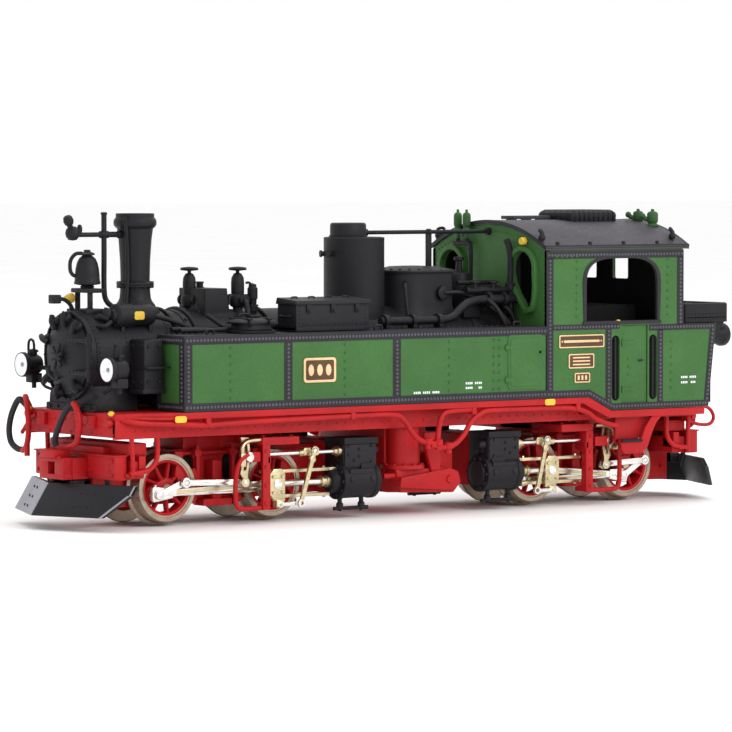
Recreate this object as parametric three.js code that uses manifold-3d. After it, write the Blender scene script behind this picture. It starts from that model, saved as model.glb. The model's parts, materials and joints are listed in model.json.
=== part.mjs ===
// Narrow-gauge Meyer tank locomotive, 1:87 scale, 9 mm gauge.
// Two swivelling bogies carry one body. Their cylinders face each other at the middle of the
// locomotive and drive the outer axle of each bogie.
// Millimetres. +Z is up, z = 0 is the bottom of the wheel flanges, -X is the chimney end,
// -Y is the driver's left when facing the chimney end.

import * as THREE from 'three';
import { mergeVertices } from 'three/addons/utils/BufferGeometryUtils.js';
import Module from 'manifold-3d';

const wasm = await Module();
wasm.setup();

// ---------------------------------------------------------------- driving dimensions

const WHEEL = {
  tread: 4.37,
  flange: 4.87,
  back: 3.7,
  face: 5.9,
  hub: 1.05,
  rimInside: 3.45,
  spokes: 9,
  spokeWide: 0.55,
  axle: 0.8,
};
const AXLE_Z = WHEEL.flange;
const WHEELBASE = 16.1;
const PIVOT_X = 29.1;
const OUTER_AXLE_X = PIVOT_X + WHEELBASE / 2;
const INNER_AXLE_X = PIVOT_X - WHEELBASE / 2;

const CRANK = 2.18;
const ECCENTRIC = 1.55;
const ECCENTRIC_LEAD = 172;
const CYLINDER_Z = AXLE_Z;
const FRONT_ROD = 16.8;
const REAR_SHIFT = 3.3;

// Planes of the motion, measured outwards from the centre line: [inner face, outer face].
const PLANE = {
  couplingRod: [6.05, 6.5],
  connectingRod: [6.6, 7.1],
  returnCrank: [7.25, 7.65],
  eccentricRod: [7.85, 8.25],
  link: [8.45, 8.85],
  slideBar: [7.35, 8.45],
  cheek: [8.6, 9.0],
  unionLink: [9.1, 9.4],
  lever: [9.5, 9.8],
};
const PIN = 0.38;
const PIN_HOLE = 0.45;

const BODY = {
  half: 12.2,
  footplateTop: 14.55,
  footplateLow: 13.75,
  frontX: -47.6,
  frontHalf: 10.1,
  tankFront: -38.8,
  cabFront: 18.4,
  cabRear: 41.7,
  dropStart: 25.6,
  dropEnd: 29.4,
  dropZ: 12.7,
  rearX: 45.6,
};
const TANK = { low: 14.6, top: 24.05, inner: 6.2 };
const BOILER = { z: 21.4, r: 5.5, smokeFront: -48, smokeRear: -35.4, smokeR: 5.7 };
const CAB = { eaveZ: 34.37, apexZ: 37.78, wall: 0.5, roofRear: 42.6, roofHalf: 12.46, bunkerTop: 23.9 };
const GAP = 0.05;
const CLEAR = 0.15;
const PISTON_ROD = 10;
const LINK_ARM = 3.2;
const LINK_FOOT = 0.1;

// ---------------------------------------------------------------- solids from three.js geometry

function toSolid(geometry) {
  geometry.deleteAttribute('normal');
  geometry.deleteAttribute('uv');
  const merged = mergeVertices(geometry, 1e-5);
  return new wasm.Manifold(new wasm.Mesh({
    numProp: 3,
    vertProperties: Float32Array.from(merged.attributes.position.array),
    triVerts: Uint32Array.from(merged.index.array),
  }));
}

// A box given by its low and high corners.
function box(x0, x1, y0, y1, z0, z1) {
  const shape = new THREE.BoxGeometry(x1 - x0, y1 - y0, z1 - z0);
  shape.translate((x0 + x1) / 2, (y0 + y1) / 2, (z0 + z1) / 2);
  return toSolid(shape);
}

// A cylinder or cone along 'x', 'y' or 'z' from a to b.
function rod(axis, a, b, centre, r0, r1 = r0, sides = 10) {
  const shape = new THREE.CylinderGeometry(r1, r0, b - a, sides);
  shape.translate(0, (a + b) / 2, 0);
  if (axis === 'x') shape.rotateZ(-Math.PI / 2);
  if (axis === 'z') shape.rotateX(Math.PI / 2);
  const [u, v] = centre;
  if (axis === 'x') shape.translate(0, u, v);
  if (axis === 'y') shape.translate(u, 0, v);
  if (axis === 'z') shape.translate(u, v, 0);
  return toSolid(shape);
}

// A turned piece about a vertical line: points are [radius, z], starting and ending on the axis.
function turned(x, y, points, sides = 24) {
  const shape = new THREE.LatheGeometry(points.map(([r, z]) => new THREE.Vector2(r, z)), sides);
  shape.rotateX(Math.PI / 2);
  shape.translate(x, y, 0);
  return toSolid(shape);
}

// A turned piece about a lengthwise line: points are [radius, x].
function turnedX(y, z, points, sides = 24) {
  const shape = new THREE.LatheGeometry(points.map(([r, x]) => new THREE.Vector2(r, x)), sides);
  shape.rotateZ(-Math.PI / 2);
  shape.translate(0, y, z);
  return toSolid(shape);
}

// A turned piece about a crosswise line: points are [radius, y], the outline closing on itself.
function turnedY(x, z, points, sides = 40) {
  const shape = new THREE.LatheGeometry(points.map(([r, y]) => new THREE.Vector2(r, y)), sides);
  shape.translate(x, 0, z);
  return toSolid(shape);
}

// A plate with an outline of [x, z] points, lying between two crosswise planes.
function plateXZ(points, y0, y1) {
  const outline = new THREE.Shape(points.map(([x, z]) => new THREE.Vector2(x, z)));
  const shape = new THREE.ExtrudeGeometry(outline, { depth: y1 - y0, bevelEnabled: false });
  shape.rotateX(Math.PI / 2);
  shape.translate(0, y1, 0);
  return toSolid(shape);
}

// A plate with an outline of [x, y] points, lying between two heights.
function plateXY(points, z0, z1) {
  const outline = new THREE.Shape(points.map(([x, y]) => new THREE.Vector2(x, y)));
  const shape = new THREE.ExtrudeGeometry(outline, { depth: z1 - z0, bevelEnabled: false });
  shape.translate(0, 0, z0);
  return toSolid(shape);
}

// A plate with an outline of [y, z] points, lying between two lengthwise planes.
function plateYZ(points, x0, x1) {
  const outline = new THREE.Shape(points.map(([y, z]) => new THREE.Vector2(y, z)));
  const shape = new THREE.ExtrudeGeometry(outline, { depth: x1 - x0, bevelEnabled: false });
  shape.rotateX(Math.PI / 2);
  shape.rotateZ(Math.PI / 2);
  shape.translate(x0, 0, 0);
  return toSolid(shape);
}

// A round bar that follows a list of [x, y, z] points.
function bar(points, radius, sides = 8) {
  const path = new THREE.CurvePath();
  const spots = points.map((p) => new THREE.Vector3(...p));
  spots.slice(1).forEach((spot, i) => path.add(new THREE.LineCurve3(spots[i], spot)));
  const ring = [];
  for (let i = 0; i < sides; i += 1) {
    const angle = (2 * Math.PI * i) / sides;
    ring.push(new THREE.Vector2(radius * Math.cos(angle), radius * Math.sin(angle)));
  }
  let whole = null;
  path.curves.forEach((curve) => {
    const piece = toSolid(new THREE.ExtrudeGeometry(new THREE.Shape(ring), { steps: 1, extrudePath: curve }));
    whole = whole ? whole.add(piece) : piece;
  });
  spots.slice(1, -1).forEach((spot) => {
    const knuckle = new THREE.SphereGeometry(radius * 1.04, sides, 6);
    knuckle.translate(spot.x, spot.y, spot.z);
    whole = whole.add(toSolid(knuckle));
  });
  return whole;
}

function join(...solids) {
  return solids.reduce((whole, next) => whole.add(next));
}

function cut(from, ...tools) {
  return tools.reduce((whole, tool) => whole.subtract(tool), from);
}

// A straight link in the XZ plane with round ends and a pin hole at each end.
function link(from, to, plane, wide, eye, hole = PIN_HOLE) {
  const [y0, y1] = plane;
  const dx = to[0] - from[0];
  const dz = to[1] - from[1];
  const length = Math.hypot(dx, dz);
  const nx = (-dz / length) * wide / 2;
  const nz = (dx / length) * wide / 2;
  const corners = [
    [from[0] + nx, from[1] + nz],
    [to[0] + nx, to[1] + nz],
    [to[0] - nx, to[1] - nz],
    [from[0] - nx, from[1] - nz],
  ];
  const shank = plateXZ(corners, y0, y1);
  const eyes = [from, to].map((end) => rod('y', y0, y1, end, eye));
  const holes = [from, to].map((end) => rod('y', y0 - 1, y1 + 1, end, hole, hole, 8));
  return cut(join(shank, ...eyes), ...holes);
}

function polar(centre, radius, degrees) {
  const angle = THREE.MathUtils.degToRad(degrees);
  return [centre[0] + radius * Math.cos(angle), centre[1] + radius * Math.sin(angle)];
}

// ---------------------------------------------------------------- scene graph

const engine = new THREE.Group();

const PAINT = {
  green: { color: 0x527d4b, roughness: 0.55, metalness: 0.0 },
  dark: { color: 0x38363b, roughness: 0.6, metalness: 0.1 },
  red: { color: 0xb02a2c, roughness: 0.5, metalness: 0.0 },
  roof: { color: 0x77737a, roughness: 0.6, metalness: 0.0 },
  nickel: { color: 0xb9ad93, roughness: 0.3, metalness: 0.9 },
  steel: { color: 0xd8d6d2, roughness: 0.25, metalness: 1.0 },
};

// Adds a solid as a named mesh; the flips mirror it across the middle of the locomotive.
function place(name, solid, paint, flipX = false, flipY = false) {
  const mesh = solid.getMesh();
  const vertices = Float32Array.from(mesh.vertProperties);
  for (let i = 0; i < vertices.length; i += 3) {
    vertices[i] *= flipX ? -1 : 1;
    vertices[i + 1] *= flipY ? -1 : 1;
  }
  const triangles = Array.from(mesh.triVerts);
  if (flipX !== flipY) {
    for (let i = 0; i < triangles.length; i += 3) {
      [triangles[i + 1], triangles[i + 2]] = [triangles[i + 2], triangles[i + 1]];
    }
  }
  const geometry = new THREE.BufferGeometry();
  geometry.setAttribute('position', new THREE.BufferAttribute(vertices, 3));
  geometry.setIndex(triangles);
  geometry.computeVertexNormals();
  const piece = new THREE.Mesh(geometry, new THREE.MeshStandardMaterial(PAINT[paint]));
  piece.name = name;
  engine.add(piece);
}

// ---------------------------------------------------------------- main frame

function mainFrame() {
  const { half, footplateTop: top, footplateLow: low } = BODY;
  const deckOutline = [
    [BODY.frontX, -BODY.frontHalf],
    [BODY.tankFront, -half],
    [BODY.dropStart, -half],
    [BODY.dropStart, half],
    [BODY.tankFront, half],
    [BODY.frontX, BODY.frontHalf],
  ];
  const deck = plateXY(deckOutline, low, top);
  const slopeOutline = [
    [BODY.dropStart - 1, low],
    [BODY.dropStart - 1, top],
    [BODY.dropStart, top],
    [BODY.dropEnd, BODY.dropZ - GAP],
    [BODY.rearX, BODY.dropZ - GAP],
    [BODY.rearX, 11.9],
    [BODY.dropEnd - 0.4, 11.9],
    [BODY.dropStart - 0.4, low],
  ];
  const cabDeck = plateXZ(slopeOutline, -half, half);
  let frame = join(deck, cabDeck);
  const beamFront = box(BODY.frontX, BODY.frontX + 0.8, -BODY.frontHalf, BODY.frontHalf, 11.6, low + 0.1);
  const beamRear = box(BODY.rearX - 0.8, BODY.rearX, -9.5, 9.5, 10.6, 12.2);
  frame = join(frame, beamFront, beamRear);
  [-1, 1].forEach((side) => {
    const inner = Math.min(side * 9.4, side * 10);
    frame = join(frame, box(BODY.frontX, BODY.dropStart, inner, inner + 0.6, 11.4, low + 0.1));
    frame = join(frame, box(BODY.dropStart - 0.1, BODY.rearX, inner, inner + 0.6, 11.4, 12.2));
    const rail = Math.min(side * 11.6, side * 12.2);
    frame = join(frame, box(BODY.tankFront, -3, rail, rail + 0.6, 12.7, 13.15));
    frame = join(frame, box(10, 22, rail, rail + 0.6, 12.7, 13.15));
    [-36, -27.5, -19, -10.5, -4, 10.6, 16, 21.4].forEach((x) => {
      frame = join(frame, box(x - 0.3, x + 0.3, rail, rail + 0.6, 12.9, low + 0.1));
    });
    [31, 35.2].forEach((x) => {
      const leg = Math.min(side * 11.3, side * 11.9);
      frame = join(frame, box(x - 0.35, x + 0.35, leg, leg + 0.6, 7.2, 12));
    });
    const tread = Math.min(side * 10.6, side * 12.1);
    frame = join(frame, box(30.3, 35.9, tread, tread + 1.5, 6.9, 7.4));
    const cross = Math.min(side * 9.6, side * 11.6);
    frame = join(frame, box(34.9, 35.5, cross, cross + 2, 11, 12));
  });
  [-PIVOT_X, PIVOT_X].forEach((x) => {
    const pad = x < 0 ? low : 11.9;
    frame = join(frame, rod('z', 11.3, pad + 0.1, [x, 0], 3, 3, 20));
    frame = join(frame, rod('z', 9.2, 11.5, [x, 0], 1.5, 1.5, 20));
  });
  return frame;
}

// Ash pan and steam receiver between the bogies.
function ashPan() {
  const hopperOutline = [
    [-4.1, 13.7], [-4.1, 6.2], [-3.4, 2.9], [5.6, 2.6], [7, 4.2], [7, 8], [3.2, 9.4], [1.6, 13.7],
  ];
  const hopper = plateXZ(hopperOutline, -6.8, 6.8);
  const wing = plateXZ([[-4, 6], [-3.2, 3], [5.4, 2.7], [6.6, 4], [6.2, 5.4], [4.6, 6]], -9.2, 9.2);
  const post = box(-1.2, 0.8, -8.6, 8.6, 5.8, 9.6);
  return join(hopper, wing, post);
}

// ---------------------------------------------------------------- boiler and fittings

function boiler() {
  const { z, r } = BOILER;
  const barrel = rod('x', BOILER.smokeRear + GAP, BODY.cabFront - GAP, [0, z], r, r, 32);
  const firebox = box(5, BODY.cabFront - GAP, -4.6, 4.6, 14.7, z);
  const cradle = box(-30, 4, -1.6, 1.6, 14.7, z - 3);
  return join(barrel, firebox, cradle);
}

function smokebox() {
  const { z, smokeFront, smokeRear, smokeR } = BOILER;
  const drum = rod('x', smokeFront + 0.6, smokeRear, [0, z], smokeR, smokeR, 32);
  const ring = rod('x', smokeFront, smokeFront + 0.7, [0, z], smokeR - 0.15, smokeR - 0.15, 32);
  const saddle = box(smokeFront + 0.3, -41, -5.2, 5.2, BODY.footplateTop + GAP, z);
  const casing = box(-42.4, -39.4, -8.6, 8.6, 16.9, 23.6);
  return join(drum, ring, saddle, casing);
}

function smokeboxDoor() {
  const { z, smokeFront } = BOILER;
  const x = smokeFront - GAP;
  const dishOutline = [[0, x - 1.1], [1.6, x - 1.02], [3, x - 0.75], [4.1, x - 0.35], [4.6, x], [0, x]];
  const dish = turnedX(0, z, dishOutline, 24);
  const boss = rod('x', x - 1.7, x - 0.9, [0, z], 0.55, 0.75, 12);
  const spindle = box(x - 1.6, x - 1.35, -1.5, 1.5, z - 0.15, z + 0.15);
  return join(dish, boss, spindle);
}

function chimney() {
  const base = BOILER.z + BOILER.smokeR;
  const profile = [
    [0, base + 0.3], [3, base + 0.3], [2.2, base + 0.9], [1.95, 28.6], [1.85, 29.7],
    [2.36, 29.75], [2.36, 30.4], [1.8, 30.5], [1.95, 34], [2.3, 37.4],
    [2.71, 37.5], [2.71, 38.3], [2.53, 38.4], [2.53, 39.05],
    [2, 39.05], [1.6, 35], [0, 35],
  ];
  const drumR = BOILER.smokeR + CLEAR;
  const saddle = cut(
    rod('z', base - 2, base + 0.5, [0, 0], 3.4, 3, 16),
    rod('x', -8, 8, [0, BOILER.z], drumR, drumR, 32),
  );
  const moved = saddle.translate([-38.3, 0, 0]);
  return join(turned(-38.3, 0, profile, 16), moved);
}

function bell() {
  const x = -45.1;
  const base = BOILER.z + BOILER.smokeR;
  const shoulder = turned(x, 0, [
    [0, 29.9], [0.5, 29.9], [0.6, 30.4], [1.72, 30.45], [1.6, 31.6], [1.3, 33], [0.75, 33.9],
    [0.45, 34], [0.4, 34.5], [0, 34.5],
  ], 14);
  const drumR = BOILER.smokeR + CLEAR;
  const bracket = box(x - 1.9, x + 1.5, -0.9, 0.9, base - 0.4, 30);
  const eye = box(x - 0.8, x + 0.8, -2, 2, 27.9, 29.3);
  const trimmed = cut(bracket, eye, rod('x', -50, -40, [0, BOILER.z], drumR, drumR, 32));
  const pipe = rod('z', 29.4, 39.2, [-42.6, 0], 0.27, 0.27, 8);
  const foot = box(-44, -42.3, -0.4, 0.4, 29.4, 29.9);
  const arm = rod('x', -47.4, -41.2, [0, 36.5], 0.27, 0.27, 8);
  const knob = toSolid(new THREE.SphereGeometry(0.7, 8, 5).translate(-47.3, 0, 36.5));
  const tip = toSolid(new THREE.SphereGeometry(0.62, 8, 5).translate(-48, 0, 38.2));
  const neck = bar([[-47.3, 0, 36.5], [-48, 0, 38.2]], 0.3);
  return join(shoulder, trimmed, pipe, foot, arm, knob, tip, neck);
}

function sandBox() {
  const barrel = rod('x', -40, 0, [0, BOILER.z], BOILER.r + CLEAR, BOILER.r + CLEAR, 32);
  const bin = box(-31.9, -25.6, -3.1, 3.1, 25, 29.3);
  const lid = box(-32.1, -25.4, -3.3, 3.3, 29.1, 29.45);
  const valves = [-29.9, -22.3].map((x) => join(
    rod('z', 26, 31, [x, -2.2], 0.7, 0.55, 12),
    rod('z', 30.8, 31.4, [x, -2.2], 0.2, 0.2, 8),
    rod('z', 31.3, 31.75, [x, -2.2], 0.98, 0.98, 16),
  ));
  const manifold = box(-25.8, -19.6, -2.9, -1.4, 26, 28.6);
  const relief = rod('z', 26.5, 30.6, [-20.2, -2.2], 0.72, 0.6, 12);
  return cut(join(bin, lid, ...valves, manifold, relief), barrel);
}

function domeOnBoiler(x, points, sides) {
  const barrel = rod('x', x - 7, x + 7, [0, BOILER.z], BOILER.r + CLEAR, BOILER.r + CLEAR, 32);
  return cut(turned(x, 0, points, sides), barrel);
}

function steamDome() {
  const x = -3.9;
  const outline = [[0, 22], [4.3, 22], [4.3, 27.4], [3.94, 27.8], [3.94, 35.6], [3.84, 35.73], [0, 35.73]];
  const body = domeOnBoiler(x, outline, 24);
  const cap = rod('z', 35.6, 37.6, [x - 0.95, 0], 2.35, 2.35, 20);
  const gauge = rod('x', x - 4.5, x - 3.6, [-1, 34], 0.45, 0.45, 10);
  return join(body, cap, gauge);
}

function regulatorBox() {
  const barrel = rod('x', 0, 14, [0, BOILER.z], BOILER.r + CLEAR, BOILER.r + CLEAR, 32);
  const front = rod('z', 25, 31.2, [4.6, 0], 3.9, 3.9, 20);
  const rear = box(4.6, 9.8, -3.9, 3.9, 25, 31.2);
  const lidFront = rod('z', 31.1, 31.9, [4.6, 0], 4.2, 4, 20);
  const lidRear = box(4.6, 10.1, -4.2, 4.2, 31.1, 31.7);
  return cut(join(front, rear, lidFront, lidRear), barrel);
}

function regulatorRod() {
  return rod('x', -2.3, BODY.cabFront - GAP, [0, 36.3], 0.28, 0.28, 8)
    .subtract(rod('z', 30, 40, [-4.85, 0], 2.35 + CLEAR, 2.35 + CLEAR, 20));
}

function sideTank() {
  const shell = box(BODY.tankFront, BODY.cabFront - GAP, TANK.inner, BODY.half, TANK.low, TANK.top);
  const hatch = box(11.8, 17.6, BODY.half - 0.1, BODY.half + 0.12, 15.7, 23.2);
  return join(shell, hatch);
}

function toolBox() {
  const body = box(-20.3, -8.9, 5.9, 10, TANK.top + GAP, 27.7);
  const lid = plateYZ([[5.8, 27.6], [10.3, 27.6], [10.3, 27.9], [5.8, 28.4]], -20.6, -8.6);
  return join(body, lid);
}

function fillerLid() {
  const neck = rod('z', TANK.top + GAP, 25.4, [-26.2, 9.1], 2.3, 2.3, 16);
  const lid = rod('z', 25.3, 25.9, [-26.2, 9.1], 3, 2.9, 20);
  const hinge = box(-26.9, -25.5, 11.5, 12.1, 24.8, 25.9);
  return join(neck, lid, hinge);
}

function headlamp() {
  const y = 9.8;
  const z = 20;
  const outline = [
    [0, -48.6], [1.42, -48.75], [1.5, -48.3], [1.25, -47.6], [1.2, -46.1], [0.9, -45.7], [0, -45.7],
  ];
  const body = turnedX(y, z, outline, 16);
  const hood = box(-47.3, -46.3, y - 0.5, y + 0.5, z + 1, z + 2.2);
  const base = box(-47.6, -46, y - 0.8, y + 0.8, z - 2.3, z - 1);
  const bracket = box(-46.9, -46.1, BOILER.smokeR - 0.6, y, z - 0.7, z + 0.5);
  const drum = rod('x', -50, -40, [0, BOILER.z], BOILER.smokeR + CLEAR, BOILER.smokeR + CLEAR, 32);
  return cut(join(body, hood, base, bracket), drum);
}

// ---------------------------------------------------------------- cab

// Points along the roof's arc from one eave to the other, dropped by an offset.
function roofArc(drop, halfWidth, steps) {
  const rise = CAB.apexZ - CAB.eaveZ;
  const radius = (CAB.roofHalf ** 2 + rise ** 2) / (2 * rise);
  const centreZ = CAB.apexZ - radius;
  const r = radius - drop;
  const points = [];
  for (let i = 0; i <= steps; i += 1) {
    const y = -halfWidth + (2 * halfWidth * i) / steps;
    points.push([y, centreZ + Math.sqrt(r * r - y * y)]);
  }
  return points;
}

function sideOpening() {
  const x0 = 25;
  const x1 = 37.2;
  const low = 24.5;
  const spring = 28.6;
  const top = 32.8;
  const points = [[x0, low], [x1, low], [x1, spring]];
  for (let i = 1; i < 8; i += 1) {
    const angle = (Math.PI * i) / 8;
    const reach = (x1 - x0) / 2;
    const flat = Math.sign(Math.cos(angle)) * Math.abs(Math.cos(angle)) ** 0.7;
    points.push([(x0 + x1) / 2 + reach * flat, spring + (top - spring) * Math.sin(angle) ** 0.7]);
  }
  points.push([x0, spring]);
  return plateXZ(points, -BODY.half - 1, BODY.half + 1);
}

// A slot with round ends beside the cab door.
function doorSlot(x) {
  const outline = new THREE.Shape();
  const r = 0.68;
  outline.absarc(x, 21.9, r, 0, Math.PI, false);
  outline.absarc(x, 14.6, r, Math.PI, 2 * Math.PI, false);
  const points = outline.getPoints(5).map((p) => [p.x, p.y]);
  return points.slice(0, -1);
}

function cabShell() {
  const w = CAB.wall;
  const h = BODY.half;
  const profile = roofArc(0.6, h, 8).reverse();
  const endOutline = [[-h, TANK.low], [h, TANK.low]].concat(profile);
  const front = plateYZ(endOutline, BODY.cabFront, BODY.cabFront + w);
  const rear = plateYZ(endOutline, BODY.cabRear - w, BODY.cabRear);
  const eave = profile[0][1];
  const bottom = [
    [BODY.cabFront, TANK.low], [BODY.dropStart, TANK.low], [BODY.dropEnd, BODY.dropZ + 0.05],
    [BODY.rearX + 0.6, BODY.dropZ + 0.05], [47.5, CAB.bunkerTop], [BODY.cabRear, CAB.bunkerTop],
    [BODY.cabRear, eave], [BODY.cabFront, eave],
  ];
  let shell = join(front, rear);
  [-1, 1].forEach((side) => {
    const inner = side > 0 ? h - w : -h;
    shell = join(shell, plateXZ(bottom, inner, inner + w));
    const recess = side > 0 ? [h - w + 0.2, h + 1] : [-h - 1, -h + w - 0.2];
    [30.06, 36.5].forEach((x) => {
      shell = cut(shell, plateXZ(doorSlot(x), inner - 1, inner + w + 1));
    });
    shell = cut(shell, box(30.9, 35.6, recess[0], recess[1], 13.3, 23.9));
  });
  shell = cut(shell, sideOpening());
  const rearPanel = box(46.2, 46.7, -h, h, BODY.dropZ + 0.5, CAB.bunkerTop);
  const floor = box(BODY.cabFront, BODY.cabRear, -h, h, 14.6, 15.2);
  shell = join(shell, rearPanel, floor.subtract(box(BODY.dropStart - 1, 60, -h - 1, h + 1, 0, 14.9)));
  const tear = new THREE.Shape();
  tear.absarc(0, 0, 1.75, 0, Math.PI, false);
  tear.lineTo(-0.9, -4.6);
  tear.lineTo(0.9, -4.6);
  const tearPoints = tear.getPoints(8).slice(0, -1);
  [-7.6, 7.6].forEach((y) => {
    const lean = (p) => [y + p.x + Math.sign(y) * p.y * -0.12, 31.8 + p.y];
    shell = cut(shell, plateYZ(tearPoints.map(lean), BODY.cabFront - 1, BODY.cabFront + w + 1));
  });
  [-4.6, 4.6].forEach((y) => {
    shell = cut(shell, box(BODY.cabRear - w - 1, BODY.cabRear + 1, y - 1.7, y + 1.7, 28, 32.4));
  });
  return shell;
}

function cabRoof() {
  const over = roofArc(0, CAB.roofHalf, 12);
  const under = roofArc(0.5, CAB.roofHalf - 0.15, 12).reverse();
  return plateYZ(under.concat(over).reverse(), BODY.cabFront - 0.3, CAB.roofRear);
}

function roofVent() {
  const skin = plateYZ([[-30, 20], [30, 20]].concat(roofArc(-GAP, CAB.roofHalf, 12).reverse()),
    10, 60);
  const plinth = box(24, 37, -4, 4, 36.6, 38.7);
  const lid = box(23.6, 37.4, -4.5, 4.5, 38.6, 39.15);
  const runner = box(19, 24.2, -3.6, -2.9, 37.9, 38.3);
  return cut(join(plinth, lid, runner), skin);
}

function coalBunker() {
  const lower = box(BODY.cabRear + GAP, 46.1, -11.6, 11.6, 15.3, 23.7);
  const rim = cut(box(42.3, 50, -11.9, 11.9, 24, 26.6), box(43, 49.3, -11.2, 11.2, 24.8, 27));
  const neck = box(BODY.cabRear + GAP, 46.1, -11.6, 11.6, 23.6, 24.2);
  const lampOutline = [[0, 46.8], [1.1, 46.8], [1.3, 49.4], [1.55, 50.4], [1.5, 51.4], [0, 51.2]];
  const lamp = turnedX(9.8, 22.2, lampOutline, 14);
  const lampHook = box(47.4, 48.4, 9.3, 10.3, 22.6, 24.2);
  const spots = [[44.6, -8], [46.4, -4.6], [44.8, -1.4], [47.2, 1.6], [45, 5], [47, 8.4]];
  const coal = spots.map(([x, y], i) => {
    const lump = new THREE.IcosahedronGeometry(1.5 + 0.12 * (i % 3), 0);
    lump.rotateZ(i);
    lump.translate(x, y, 25);
    return toSolid(lump);
  });
  const heap = cut(join(...coal), box(40, 50, -12, 12, 20, 24.4));
  return join(lower, neck, rim, heap, lamp, lampHook, lamp.mirror([0, 1, 0]), lampHook.mirror([0, 1, 0]));
}

// The electric motor sits low in the cab, on the axis of the drive shafts.
function motor() {
  const can = rod('x', 22, 34, [0, 19.4], 3.9, 3.9, 24);
  const flats = join(box(21, 35, -5, 5, 15.4, 22.4), box(21.9, 22, -1, 1, 16, 17));
  const body = can.intersect(flats);
  const shaft = rod('x', 20.2, 38, [0, 19.4], 0.75, 0.75, 12);
  const flywheel = rod('x', 35, 37.4, [0, 19.4], 3.2, 3.2, 24);
  const foot = box(23, 33, -3, 3, 15.25, 16.4);
  return join(body, shaft, flywheel, foot);
}

function circuitBoard() {
  const board = box(38.2, 41, -9, 9, 15.6, 16.2);
  const chips = [-6, -2, 3, 7].map((y) => box(38.8, 40.4, y - 0.9, y + 0.9, 16.1, 16.9));
  return join(board, ...chips);
}

// ---------------------------------------------------------------- bogies

// A wheelset on an axle at x. Crank angles are seen from the -Y side, X to the right, Z up.
function wheelset(x, cranks, driven) {
  const tyreProfile = [
    [WHEEL.rimInside, WHEEL.back], [WHEEL.flange, WHEEL.back], [WHEEL.flange, WHEEL.back + 0.35],
    [WHEEL.tread, WHEEL.back + 0.75], [WHEEL.tread - 0.1, WHEEL.face], [WHEEL.rimInside, WHEEL.face],
    [WHEEL.rimInside, WHEEL.back],
  ];
  const spokeHalf = WHEEL.spokeWide / 2;
  const spokeEnd = WHEEL.rimInside + 0.3;
  const spokeBox = box(0.5, spokeEnd, WHEEL.back + 0.7, WHEEL.face - 0.35, -spokeHalf, spokeHalf);
  let set = rod('y', -WHEEL.back - 0.5, WHEEL.back + 0.5, [x, AXLE_Z], WHEEL.axle);
  [-1, 1].forEach((side, i) => {
    const crank = polar([x, AXLE_Z], CRANK, cranks[i]);
    let wheel = turnedY(x, AXLE_Z, tyreProfile, 24);
    for (let k = 0; k < WHEEL.spokes; k += 1) {
      const turn = -cranks[i] + (360 * k) / WHEEL.spokes;
      wheel = join(wheel, spokeBox.rotate([0, turn, 0]).translate([x, 0, AXLE_Z]));
    }
    wheel = join(wheel, rod('y', WHEEL.back, WHEEL.face - 0.1, [x, AXLE_Z], WHEEL.hub));
    wheel = join(wheel, rod('y', WHEEL.back + 0.7, WHEEL.face, crank, 0.75, 0.75, 10));
    if (driven) {
      const eccentric = polar([x, AXLE_Z], ECCENTRIC, cranks[i] + ECCENTRIC_LEAD);
      wheel = join(wheel, rod('y', WHEEL.face - 0.2, PLANE.returnCrank[0] + 0.1, crank, PIN, PIN, 12));
      wheel = join(wheel, link(crank, eccentric, PLANE.returnCrank, 0.9, 0.6, 0.1));
      wheel = join(wheel, rod('y', PLANE.returnCrank[0], PLANE.returnCrank[1], crank, 0.3, 0.3, 8));
      const pinEnd = PLANE.eccentricRod[1] + 0.05;
      wheel = join(wheel, rod('y', PLANE.returnCrank[0], pinEnd, eccentric, 0.32, 0.32, 12));
    } else {
      wheel = join(wheel, rod('y', WHEEL.face - 0.2, PLANE.couplingRod[1] + 0.03, crank, PIN, PIN, 12));
    }
    set = join(set, side > 0 ? wheel : wheel.mirror([0, 1, 0]));
  });
  return set;
}

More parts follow.
